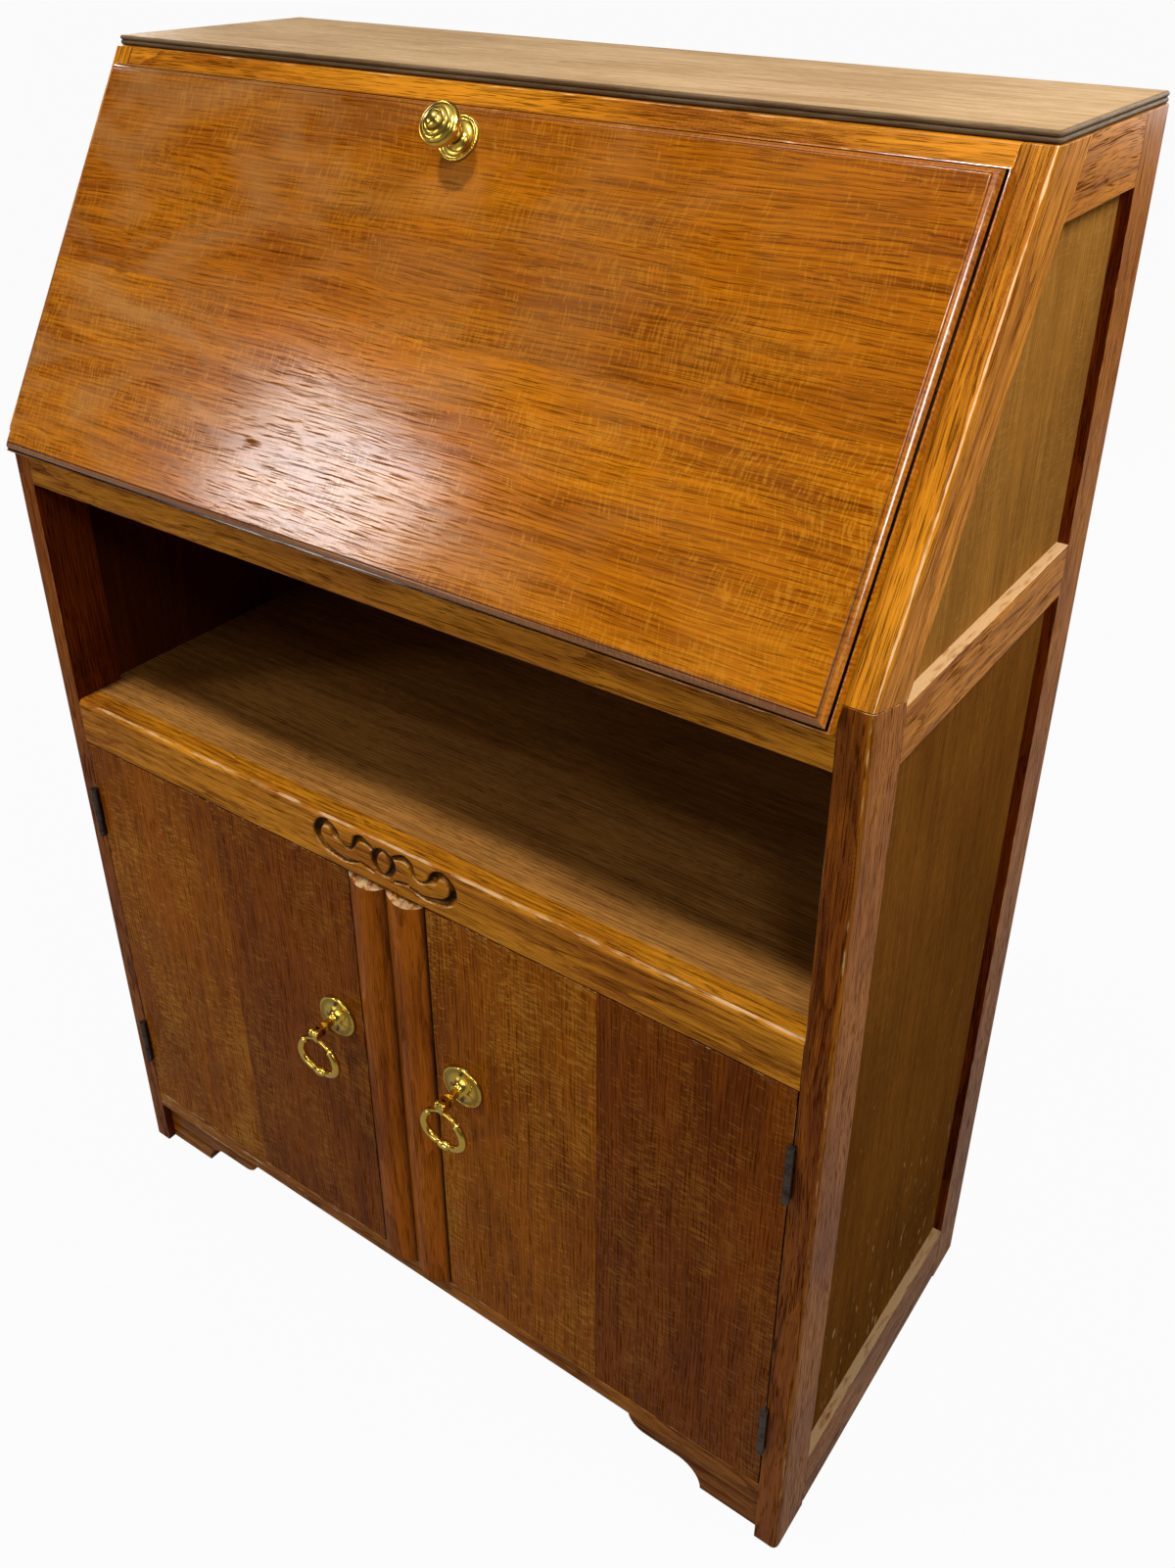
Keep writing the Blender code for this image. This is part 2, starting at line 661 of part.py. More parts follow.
def knob(brass, fall):
    """A turned knob with ring mouldings, on a dished rose."""
    seat = FALL_OUTER - FIT
    place = (0.0, KNOB_DROP - FALL_ABOVE_AXIS, seat)
    collar = KNOB_NECK_RADIUS + FIT
    rim_in = KNOB_ROSE_RADIUS - KNOB_ROSE_RIM
    rose = [(0.0, 0.0), (KNOB_ROSE_RADIUS, 0.0), (KNOB_ROSE_RADIUS, KNOB_ROSE_RIM)]
    rose += [(rim_in, KNOB_ROSE_RIM + FIT), (rim_in - KNOB_ROSE_RIM / 2, KNOB_ROSE_RIM / 2)]
    rose += [(collar + KNOB_ROSE_RIM, KNOB_ROSE_THICK), (0.0, KNOB_ROSE_THICK)]
    add("knob_rose", outwards(turned(rose)), brass, fall, place, smooth=True)

    start = KNOB_ROSE_THICK + FIT
    head = start + KNOB_NECK_LONG
    front = head + KNOB_HEAD_LONG
    middle = (head + front) / 2
    shaped = [(0.0, start), (KNOB_NECK_RADIUS, start), (KNOB_WAIST_RADIUS, (start + head) / 2)]
    shaped += [(KNOB_NECK_RADIUS, head), (KNOB_BACK_RADIUS, head)]
    shaped += [(KNOB_RADIUS, (head + middle) / 2), (KNOB_RADIUS, middle)]
    shaped += [(KNOB_SHOULDER_RADIUS, (front + middle) / 2), (KNOB_FACE_RADIUS, front)]
    shaped += [(KNOB_BOSS_RADIUS, front - KNOB_BOSS_RISE / 4)]
    shaped += [(KNOB_CROWN_RADIUS, front + KNOB_CROWN_RISE), (0.0, front + KNOB_BOSS_RISE)]
    add("fall_knob", outwards(turned(shaped)), brass, fall, place, smooth=True)


def outwards(bm):
    """Turn a piece that was turned up from Z=0 so that it points out of the fall."""
    bmesh.ops.transform(bm, matrix=Matrix.Rotation(math.pi, 4, "X"), verts=bm.verts)
    return bm


def stay_pivot():
    """(y, z) of a stay's pivot on the closed fall."""
    return slope_point(FALL_AXIS_ALONG + STAY_PIVOT_ALONG, STAY_PIVOT_IN)


def stay_guide_point():
    """(y, z) of the fixed pin that a stay's slot rides on."""
    return slope_point(FALL_AXIS_ALONG + STAY_GUIDE_ALONG, STAY_GUIDE_IN)


def stay_path():
    """The slot's middle line from the stay's pivot: where the fixed pin lies as the fall opens.

    The stay turns by a fixed share of the fall's own turn, so the slot is curved.
    """
    axis = Vector((-FALL_HINGE_OUT, FALL_AXIS_Z))
    pivot = Vector(stay_pivot()) - axis
    guide = Vector(stay_guide_point()) - axis
    path = []
    for step in range(STAY_STEPS + 1):
        turn = FALL_TRAVEL * step / STAY_STEPS
        away = guide - Matrix.Rotation(turn, 2) @ pivot
        path.append(Matrix.Rotation(-STAY_TURN_RATIO * turn, 2) @ away)
    return path


def ribbon(path, half_wide):
    """The outline of a band with round ends along a line of points."""
    left = []
    right = []
    for index, point in enumerate(path):
        before = path[max(index - 1, 0)]
        after = path[min(index + 1, len(path) - 1)]
        ahead = (after - before).normalized()
        across_path = Vector((-ahead.y, ahead.x)) * half_wide
        left.append(tuple(point + across_path))
        right.append(tuple(point - across_path))
    start = math.degrees(math.atan2(*reversed(path[1] - path[0])))
    end = math.degrees(math.atan2(*reversed(path[-1] - path[-2])))
    tail = arc(path[-1], half_wide, end + 90.0, end - 90.0, 2 * ARC_STEPS)[1:-1]
    nose = arc(path[0], half_wide, start - 90.0, start - 270.0, 2 * ARC_STEPS)[1:-1]
    return left + tail + right[::-1] + nose


def stay(hand, side, steel, frame, fall):
    """A slotted stay, the bracket that carries it on the fall, and its fixed guide pin."""
    pivot = stay_pivot()
    guide = stay_guide_point()
    near, far = span(side, STAY_X - STAY_THICK / 2, STAY_X + STAY_THICK / 2)
    slot = stay_path()
    slot_half = STAY_PIN_RADIUS + PIN_PLAY
    bar = prism(ribbon([Vector((0.0, 0.0))] + slot, STAY_HALF_WIDE), "X", near, far)
    cuts = [prism(ribbon(slot, slot_half), "X", near - FIT, far + FIT)]
    cuts.append(rod("X", (0.0, 0.0), slot_half, near - FIT, far + FIT))
    add(f"{hand}_stay", combine(bar, cuts, "DIFFERENCE"), steel, frame, (0.0, *pivot))

    inner_face = STAY_X - STAY_THICK / 2 - FIT
    outer_face = STAY_X + STAY_THICK / 2 + FIT
    plate_face = STILE_IN - FIT
    plate = rod("X", guide, STAY_PLATE_RADIUS, *span(side, plate_face - STAY_PLATE_THICK, plate_face))
    pin = rod("X", guide, STAY_PIN_RADIUS, *span(side, inner_face - STAY_HEAD_THICK, plate_face))
    head = rod("X", guide, STAY_HEAD_RADIUS, *span(side, inner_face - STAY_HEAD_THICK, inner_face))
    add(f"{hand}_stay_guide", combine(plate, [pin, head], "UNION"), steel, frame, smooth=True)

    along, level = -STAY_PIVOT_ALONG, STAY_PIVOT_IN
    ear_in, ear_out = span(side, inner_face - STAY_EAR_THICK, inner_face)
    foot_in, foot_out = span(side, inner_face - STAY_FOOT_WIDE, inner_face)
    half_foot = STAY_FOOT_LONG / 2
    foot = box((foot_in, along - half_foot, 0.0), (foot_out, along + half_foot, STAY_PLATE_THICK))
    half_ear = STAY_EAR_RADIUS
    cheek_low = STAY_PLATE_THICK / 2
    cheek = box((ear_in, along - half_ear, cheek_low), (ear_out, along + half_ear, level))
    ear = rod("X", (along, level), STAY_EAR_RADIUS, ear_in, ear_out)
    pin_end = outer_face + STAY_HEAD_THICK
    pin = rod("X", (along, level), STAY_PIN_RADIUS, *span(side, inner_face - STAY_EAR_THICK, pin_end))
    head = rod("X", (along, level), STAY_HEAD_RADIUS, *span(side, outer_face, pin_end))
    joined = combine(foot, [cheek, ear, pin, head], "UNION")
    add(f"{hand}_stay_bracket", joined, steel, fall, smooth=True)


def door_hinge_heights():
    """Middle heights of a door's lower and upper hinges."""
    return DOOR_BOTTOM + DOOR_HINGE_DROP, DOOR_TOP - DOOR_HINGE_DROP


def door_leaf_recess(side, height):
    """The shallow bed for a hinge leaf, across the gap between door and stile."""
    half = DOOR_HINGE_LONG / 2 + FIT
    deep = LEAF_THICK + 2 * FIT
    low, high = span(side, DOOR_AXIS_X - deep, DOOR_AXIS_X + deep)
    return box((low, -DOOR_THICK, height - half), (high, DOOR_LEAF_WIDE + FIT, height + half))


def door_hinge(hand, side, tier, height, steel, frame, door):
    """A steel butt hinge, with its knuckle standing proud of the door's face."""
    half = DOOR_HINGE_LONG / 2
    low, high = height - half, height + half
    middle, outer = knuckle_ends(low, high)
    clear = KNUCKLE_RADIUS + SWING_GAP
    back = DOOR_LEAF_WIDE - DOOR_AXIS_Y
    place = (side * DOOR_AXIS_X, DOOR_AXIS_Y, 0.0)
    pin_line = (0.0, 0.0)

    outline = [(across_leaf, z) for z, across_leaf in leaf_outline(low, high, clear, back, middle, 0.0)]
    plate = prism(outline, "X", *span(side, FIT / 2, FIT / 2 + LEAF_THICK))
    pin = rod("Z", pin_line, PIN_RADIUS, low, high)
    fixed = combine(plate, knuckles("Z", pin_line, middle) + [pin], "UNION")
    add(f"{hand}_door_{tier}_hinge_fixed_leaf", fixed, steel, frame, place, smooth=True)

    outline = [(across_leaf, z) for z, across_leaf in leaf_outline(low, high, clear, back, outer, 0.0)]
    plate = prism(outline, "X", *span(side, -FIT / 2 - LEAF_THICK, -FIT / 2))
    bore = rod("Z", pin_line, PIN_RADIUS + PIN_PLAY, low - FIT, high + FIT)
    moving = combine(plate, knuckles("Z", pin_line, outer), "UNION")
    moving = combine(moving, [bore], "DIFFERENCE")
    add(f"{hand}_door_{tier}_hinge_moving_leaf", moving, steel, door, smooth=True)


def pull(hand, side, brass, door):
    """A drop pull: a dished rose with a forked stem, and the ring that hangs in it."""
    place = Vector((side * (PULL_X - DOOR_AXIS_X), -DOOR_AXIS_Y - FIT, PULL_HEIGHT))
    reach = PULL_PIVOT_OUT - FIT
    half_eye = PULL_EYE_THICK / 2 + FIT
    half_fork = half_eye + PULL_CHEEK_THICK
    radius = PULL_ROSE_RADIUS
    fork_start = reach - 2 * PULL_FORK_RADIUS
    stem_end = fork_start + PULL_FORK_RADIUS / 2
    profile = [(0.0, 0.0), (radius, 0.0), (radius, PULL_ROSE_EDGE), (PULL_RIM_RADIUS, PULL_RIM_LEVEL)]
    profile += [(PULL_DISH_RADIUS, PULL_DISH_LEVEL), (PULL_DOME_RADIUS, PULL_DOME_LEVEL)]
    profile += [(PULL_COLLAR_RADIUS, PULL_COLLAR_LEVEL), (PULL_STEM_RADIUS, PULL_STEM_LEVEL)]
    profile += [(PULL_STEM_RADIUS, stem_end), (0.0, stem_end)]
    rose = turned(profile)
    bmesh.ops.transform(rose, matrix=Matrix.Rotation(math.pi / 2, 4, "X"), verts=rose.verts)
    pivot = (-reach, 0.0)
    block = box((-half_fork, -reach, -PULL_FORK_RADIUS), (half_fork, -fork_start, PULL_FORK_RADIUS))
    nose = rod("X", pivot, PULL_FORK_RADIUS, -half_fork, half_fork)
    slot_back = PULL_EYE_RADIUS + FIT - reach
    slot = box((-half_eye, -2 * reach, -radius), (half_eye, slot_back, radius))
    pin = rod("X", pivot, PULL_PIN_RADIUS, -half_eye - FIT, half_eye + FIT)
    fork = combine(combine(block, [nose], "UNION"), [slot], "DIFFERENCE")
    stem = combine(rose, [fork, pin], "UNION")
    add(f"{hand}_pull_rose", stem, brass, door, place, smooth=True)

    ring_place = place - Vector((0.0, reach, 0.0))
    add(f"{hand}_pull_ring", pull_ring(), brass, door, ring_place, smooth=True)


def pull_ring():
    """A pear-shaped ring with an eye at its top and a bead at the bottom of its bow."""
    loops = []
    bm = bmesh.new()
    for step in range(RING_STEPS):
        centre, thick = ring_point(step), ring_thickness(step)
        ahead = (ring_point(step + 1) - ring_point(step - 1)).normalized()
        outward = Vector((ahead.z, 0.0, -ahead.x))
        circle = arc((0.0, 0.0), thick / 2, 0.0, 360.0 * (RING_SIDES - 1) / RING_SIDES, RING_SIDES - 1)
        loops.append([bm.verts.new(centre + outward * u + Vector((0.0, v, 0.0))) for u, v in circle])
    for index in range(RING_STEPS):
        this, following = loops[index], loops[(index + 1) % RING_STEPS]
        for corner in range(RING_SIDES):
            beside = (corner + 1) % RING_SIDES
            bm.faces.new((this[corner], this[beside], following[beside], following[corner]))
    bmesh.ops.recalc_face_normals(bm, faces=bm.faces)
    half_eye = PULL_EYE_THICK / 2
    half_neck = half_eye - FIT
    neck = box((-half_neck, -half_neck, -PULL_NECK_LONG), (half_neck, half_neck, -PULL_PIN_RADIUS))
    eye = rod("X", (0.0, 0.0), PULL_EYE_RADIUS, -half_eye, half_eye)
    bore = rod("X", (0.0, 0.0), PULL_PIN_RADIUS + PIN_PLAY, -half_eye - FIT, half_eye + FIT)
    return combine(combine(bm, [neck, eye], "UNION"), [bore], "DIFFERENCE")


def ring_point(step):
    """A point on the ring's middle line, counted round from its top."""
    turn = 2 * math.pi * step / RING_STEPS
    rise = (1 + math.cos(turn)) / 2
    x = PULL_RING_HALF_WIDE * math.sin(turn) * (1 - PULL_RING_PINCH * rise)
    return Vector((x, 0.0, -PULL_NECK_LONG - (PULL_RING_LONG - PULL_NECK_LONG) * (1 - rise)))


def ring_thickness(step):
    """The ring is slim at its top, full round its bow, and swells to the bead."""
    if step == RING_STEPS // 2:
        return PULL_BEAD_THICK
    fall_share = (1 - math.cos(2 * math.pi * step / RING_STEPS)) / 2
    full = min(1.0, fall_share / PULL_SHOULDER)
    return PULL_RING_TOP_THICK + (PULL_RING_THICK - PULL_RING_TOP_THICK) * full


def door(hand, side, oak, steel, brass, frame):
    """A flat inset door on two butt hinges, with its drop pull."""
    hung = empty(f"{hand}_door_axis", frame, (side * DOOR_AXIS_X, DOOR_AXIS_Y, 0.0))
    low, high = span(side, DOOR_FREE, DOOR_HINGED)
    panel = box((low, 0.0, DOOR_BOTTOM), (high, DOOR_THICK, DOOR_TOP))
    cuts = [door_leaf_recess(side, z) for z in door_hinge_heights()]
    panel = combine(panel, cuts, "DIFFERENCE")
    bmesh.ops.translate(panel, vec=(-side * DOOR_AXIS_X, -DOOR_AXIS_Y, 0.0), verts=panel.verts)
    add(f"{hand}_door", panel, oak, hung)
    for tier, height in zip(("lower", "upper"), door_hinge_heights()):
        door_hinge(hand, side, tier, height, steel, frame, hung)
    pull(hand, side, brass, hung)


def build():
    clear_scene()
    oak = finish("polished_oak", (0.30, 0.12, 0.03), 0.35)
    brass = finish("polished_brass", (0.80, 0.58, 0.20), 0.18, 1.0)
    steel = finish("dark_steel", (0.12, 0.10, 0.09), 0.45, 1.0)

    frame = empty("bureau", location=(0.0, (PULL_REACH - DEPTH) / 2, 0.0))
    carcass(oak, frame)

    fall = empty("fall_axis", frame, (0.0, -FALL_HINGE_OUT, FALL_AXIS_Z))
    fall.rotation_euler.x = -FALL_TRAVEL
    fall_panel(oak, fall)
    knob(brass, fall)
    for hand, side in (("left", -1), ("right", 1)):
        fall_hinge(hand, side, steel, frame, fall)
        stay(hand, side, steel, frame, fall)
        door(hand, side, oak, steel, brass, frame)


build()
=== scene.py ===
"""The looks of an oak writing bureau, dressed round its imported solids. Sizes are in metres."""

import json
import math
import random
from functools import partial

import bmesh
import bpy
from mathutils import Matrix, Vector

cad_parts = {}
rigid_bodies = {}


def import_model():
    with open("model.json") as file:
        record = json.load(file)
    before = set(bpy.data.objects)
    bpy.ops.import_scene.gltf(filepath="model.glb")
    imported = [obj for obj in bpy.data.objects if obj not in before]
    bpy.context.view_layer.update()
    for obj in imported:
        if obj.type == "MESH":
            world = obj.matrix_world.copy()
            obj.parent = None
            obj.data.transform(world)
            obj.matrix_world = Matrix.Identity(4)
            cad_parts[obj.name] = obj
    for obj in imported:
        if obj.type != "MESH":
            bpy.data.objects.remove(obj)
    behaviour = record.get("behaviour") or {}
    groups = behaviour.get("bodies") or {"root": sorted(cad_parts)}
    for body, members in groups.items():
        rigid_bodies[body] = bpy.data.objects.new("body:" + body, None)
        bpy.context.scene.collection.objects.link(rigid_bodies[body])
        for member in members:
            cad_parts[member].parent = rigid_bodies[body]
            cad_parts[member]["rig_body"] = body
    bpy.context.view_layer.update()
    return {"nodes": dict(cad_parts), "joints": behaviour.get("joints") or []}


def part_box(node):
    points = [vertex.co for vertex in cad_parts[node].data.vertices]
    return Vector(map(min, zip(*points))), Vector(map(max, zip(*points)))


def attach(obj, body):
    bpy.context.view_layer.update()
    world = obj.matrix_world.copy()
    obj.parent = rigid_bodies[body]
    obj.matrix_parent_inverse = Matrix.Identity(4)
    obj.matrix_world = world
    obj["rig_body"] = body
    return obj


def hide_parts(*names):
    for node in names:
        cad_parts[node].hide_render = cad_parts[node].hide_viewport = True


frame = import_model()


# Side frames.
# Six stiles and six rails of solid oak, tenoned and glued flush, stained golden brown and polished.
# Their arrises are eased, and years of handling have rubbed the stain off them.
def linear(hex_code):
    """An sRGB hex colour as linear RGBA."""
    channels = [int(hex_code[place:place + 2], 16) / 255 for place in (1, 3, 5)]
    return (*[c / 12.92 if c <= 0.04045 else ((c + 0.055) / 1.055) ** 2.4 for c in channels], 1.0)


def wire(tree, kind, inputs=(), **settings):
    """Add a node with its settings. An input given as a socket is linked, anything else is set."""
    node = tree.nodes.new(kind)
    for name, value in settings.items():
        setattr(node, name, value)
    for name, value in dict(inputs).items():
        if isinstance(value, bpy.types.NodeSocket):
            tree.links.new(value, node.inputs[name])
        else:
            node.inputs[name].default_value = value
    return node


def new_material(name):
    """A new material, its tree and its shader."""
    material = bpy.data.materials.new(name)
    material.use_nodes = True
    return material, material.node_tree, material.node_tree.nodes["Principled BSDF"]


def oak(name, pale, brown, pore, fleck, roughness,
        gloss=0.06, figure=0.5, contrast=0.8, coarse=1.0, ring_mm=3.4):
    """Oak, drawn from each board's own grain: X runs along it and the pith is at Y = Z = 0.

    Rings grow round the pith, open pores lie along the grain as dark dashes, and rays stand
    out from the pith, so they show as pale fleck where a face is cut along them.
    Pores and rays are drawn about twice as wide as real ones, so that they show.
    The mesh says where the finish has changed: tone is a darker stain, and in places painted shade; bloom is
    polish gone cloudy; wear is polish rubbed off, and in places a painted highlight; grime is old dirt, and
    in places painted shade; and filled is polish that has closed the pores.
    """
    sway_mm, sway_by_mm, ray_round_mm = (240.0, 60.0, 60.0), (20.0, 14.0, 14.0), 100.0
    dark_stain_and_shade, cloudy_polish, pale_wear_and_highlight, dark_dirt_and_shade = "#96683c", "#a07440", "#d2ac7c", "#120803"
    pore_rough, smear_rough, filled_gloss, pore_deep = 0.25, 0.015, 0.5, 0.00001
    material, tree, shader = new_material(name)
    add = partial(wire, tree)
    calc, vector, noise = "ShaderNodeMath", "ShaderNodeVectorMath", "ShaderNodeTexNoise"
    # Inputs go by number: a spread takes a value, where it starts and is full, and what it gives
    # there, and a mix takes a share and two colours.
    spread, mix = "ShaderNodeMapRange", "ShaderNodeMix"
    changes = []
    for change in ("tone", "bloom", "wear", "grime", "filled"):
        changes.append(add("ShaderNodeAttribute", attribute_name=change).outputs["Fac"])
    tone, bloom, wear, grime, filled = changes

    # A trunk is never straight, so the grain sways.
    grain = add("ShaderNodeAttribute", attribute_name="grain").outputs["Vector"]
    mm = add(vector, {0: grain, 3: 1000.0}, operation="SCALE").outputs[0]
    sway_at = add(vector, {0: mm, 1: sway_mm}, operation="DIVIDE").outputs[0]
    sway = add(noise, {"Vector": sway_at, "Scale": 1.0, "Detail": 2.0}).outputs["Color"]
    lean = add(vector, {0: sway, 1: (0.5, 0.5, 0.5)}, operation="SUBTRACT").outputs[0]
    bent = add(vector, {0: lean, 1: sway_by_mm, 2: mm}, operation="MULTIPLY_ADD").outputs[0]
    place = add("ShaderNodeSeparateXYZ", {0: bent}).outputs
    radial = add(vector, {0: bent, 1: (0.0, 1.0, 1.0)}, operation="MULTIPLY").outputs[0]
    radius = add(vector, {0: radial}, operation="LENGTH").outputs["Value"]

    # Rays are thin sheets, so they are drawn by the turn round the pith.
    turn = add(calc, {0: place[2], 1: place[1]}, operation="ARCTAN2").outputs[0]
    sheet = add(calc, {0: turn, 1: ray_round_mm}, operation="MULTIPLY").outputs[0]
    ray_place = add("ShaderNodeCombineXYZ", {0: place[0], 1: sheet, 2: radius}).outputs[0]

    # Noise for each kind of mark: where it lies, its size in mm, its detail and its distortion.
    drawn = {}
    for label, where, size_mm, detail, distortion in (
        ("pores", bent, (26.0 * coarse, 0.6 * coarse, 0.6 * coarse), 1.0, 0.0),
        ("streaks", bent, (110.0 * coarse, 1.6 * coarse, 1.6 * coarse), 2.0, 0.0),
        ("rays", ray_place, (1.4, 0.9, 14.0), 1.0, 0.0),
        ("patches", mm, (150.0, 55.0, 55.0), 2.0, 0.0),
        ("bands", bent, (110.0, 5.0, 5.0), 4.0, 0.0),
        ("clouds", mm, (190.0, 70.0, 70.0), 3.0, 0.0),
        ("smears", mm, (120.0, 70.0, 70.0), 3.0, 1.2),
        ("rubs", mm, (22.0, 5.0, 5.0), 3.0, 0.0),
    ):
        at = add(vector, {0: where, 1: size_mm}, operation="DIVIDE").outputs[0]
        cloud = {"Vector": at, "Scale": 1.0, "Detail": detail, "Distortion": distortion}
        drawn[label] = add(noise, cloud).outputs[0]

    # Each ring starts with early wood, where the pores crowd.
    rings = add(calc, {0: radius, 1: ring_mm}, operation="DIVIDE").outputs[0]
    phase = add(calc, {0: rings}, operation="FRACT").outputs[0]
    early = add(spread, {0: phase, 2: 0.6, 3: 1.0, 4: 0.0}, interpolation_type="SMOOTHSTEP").outputs[0]
    crowded = add(calc, {0: early, 1: 0.07, 2: drawn["pores"]}, operation="MULTIPLY_ADD").outputs[0]
    pores = add(spread, {0: crowded, 1: 0.57, 2: 0.64}).outputs[0]
    unfilled = add(calc, {0: 1.0, 1: filled}, operation="SUBTRACT").outputs[0]
    pores = add(calc, {0: pores, 1: unfilled}, operation="MULTIPLY").outputs[0]
    streaks = add(spread, {0: drawn["streaks"], 1: 0.5, 2: 0.7, 4: 0.6}).outputs[0]
    open_pores = add(calc, {0: pores, 1: streaks}, operation="MAXIMUM").outputs[0]
    deep = add(calc, {0: open_pores, 1: contrast}, operation="MULTIPLY").outputs[0]

    # Rays come in patches. The stain goes from pale to brown in narrow bands and broad clouds.
    patched = {0: drawn["patches"], 1: 0.5, 2: drawn["rays"]}
    patched = add(calc, patched, operation="MULTIPLY_ADD").outputs[0]
    rays = add(spread, {0: patched, 1: 0.8, 2: 0.92, 4: figure}).outputs[0]
    clouds = add(calc, {0: drawn["bands"], 1: drawn["clouds"]}, operation="ADD").outputs[0]
    shade = add(calc, {0: early, 1: 0.18, 2: clouds}, operation="MULTIPLY_ADD").outputs[0]
    shade = add(spread, {0: shade, 1: 0.85, 2: 1.3}).outputs[0]
    wiped = add(spread, {0: drawn["smears"], 1: 0.4, 2: 0.72, 4: bloom}).outputs[0]
    rubbed = add(calc, {0: wear, 1: 0.55, 2: drawn["rubs"]}, operation="MULTIPLY_ADD").outputs[0]
    worn = add(spread, {0: rubbed, 1: 0.8, 2: 0.98, 4: 0.85}).outputs[0]

    # Brown, fleck and pores are in the wood. Stain, cloudy polish, bare wood and dirt lie over them, and the
    # stain, bare wood and dirt layers also paint shade and highlights where the mesh asks for them.
    colour = linear(pale)
    for share, over, blend in (
        (shade, brown, "MIX"), (rays, fleck, "MIX"), (deep, pore, "MIX"), (tone, dark_stain_and_shade, "MULTIPLY"),
        (wiped, cloudy_polish, "MIX"), (worn, pale_wear_and_highlight, "MIX"), (grime, dark_dirt_and_shade, "MIX"),
    ):
        layers = {0: share, 6: colour, 7: linear(over)}
        colour = add(mix, layers, data_type="RGBA", blend_type=blend).outputs[2]
    tree.links.new(colour, shader.inputs["Base Color"])

    # Pores are matt and sunk, wipe marks a little duller, and filled places shine.
    smeared = {0: drawn["smears"], 1: 0.5, 2: 0.56, 3: roughness, 4: roughness + smear_rough}
    smeared = add(spread, smeared).outputs[0]
    rough = add(calc, {0: pores, 1: pore_rough, 2: smeared}, operation="MULTIPLY_ADD").outputs[0]
    tree.links.new(rough, shader.inputs["Roughness"])
    sheen = add(spread, {0: pores, 3: gloss, 4: 0.0}).outputs[0]
    sheen = add(calc, {0: filled, 1: filled_gloss, 2: sheen}, operation="MULTIPLY_ADD").outputs[0]
    tree.links.new(sheen, shader.inputs["Specular IOR Level"])
    sunk = add(calc, {0: pores, 1: -1.0}, operation="MULTIPLY").outputs[0]
    bump = add("ShaderNodeBump", {"Strength": 0.5, "Distance": pore_deep, "Height": sunk}).outputs[0]
    tree.links.new(bump, shader.inputs["Normal"])
    shader.inputs["Specular IOR Level"].default_value = gloss
    shader.inputs["IOR"].default_value = 1.5
    return material


def planed(node, ease):
    """A bmesh copy of a solid with its facets merged and its arrises eased."""
    merge_within, flat_within = 0.00001, math.radians(1)
    bm = bmesh.new()
    bm.from_mesh(frame["nodes"][node].data)
    bmesh.ops.remove_doubles(bm, verts=bm.verts, dist=merge_within)
    bmesh.ops.dissolve_limit(bm, angle_limit=flat_within, verts=bm.verts, edges=bm.edges)
    return eased(bm, ease)


def eased(bm, ease):
    """Round the sharp arrises of a bmesh and mark them as worn."""
    sharp_from, arris_wear = math.radians(30), 0.65
    sharp = [edge for edge in bm.edges if edge.calc_face_angle(0.0) > sharp_from]
    cut = {"offset": ease, "segments": 2, "profile": 0.5, "affect": "EDGES", "clamp_overlap": True}
    strips = set(bmesh.ops.bevel(bm, geom=sharp, **cut)["faces"])
    wear = bm.verts.layers.float.new("wear")
    for vert in bm.verts:
        vert[wear] = arris_wear * all(face in strips for face in vert.link_faces)
    return bm


def dusted(bm, amount, dirt=0.0):
    """Wear the polish off the ledges, where dust lies and is wiped away, and leave some dirt on them."""
    ledge = 0.7
    wear = bm.verts.layers.float.get("wear")
    grime = bm.verts.layers.float.get("grime") or bm.verts.layers.float.new("grime")
    for face in bm.faces:
        if face.normal.z > ledge:
            for vert in face.verts:
                vert[wear] = max(vert[wear], amount)
                vert[grime] = max(vert[grime], dirt)


def rub_corner(bm, one, other, radius, amount, band):
    """Paint a pale band of worn polish along the middle of a rounded corner between two faces; on the slope
    stiles it is a painted highlight as well.
    """
    wear = bm.verts.layers.float.get("wear")
    ends = [max(vert.co.dot(way) for vert in bm.verts) for way in (one, other)]
    for vert in bm.verts:
        gaps = [end - vert.co.dot(way) for end, way in zip(ends, (one, other))]
        if max(gaps) < radius and abs(gaps[0] - gaps[1]) < band:
            vert[wear] = max(vert[wear], amount)


def reach(node, direction):
    """How far a solid reaches along a direction, low and high."""
    places = [vert.co.dot(direction) for vert in frame["nodes"][node].data.vertices]
    return min(places), max(places)


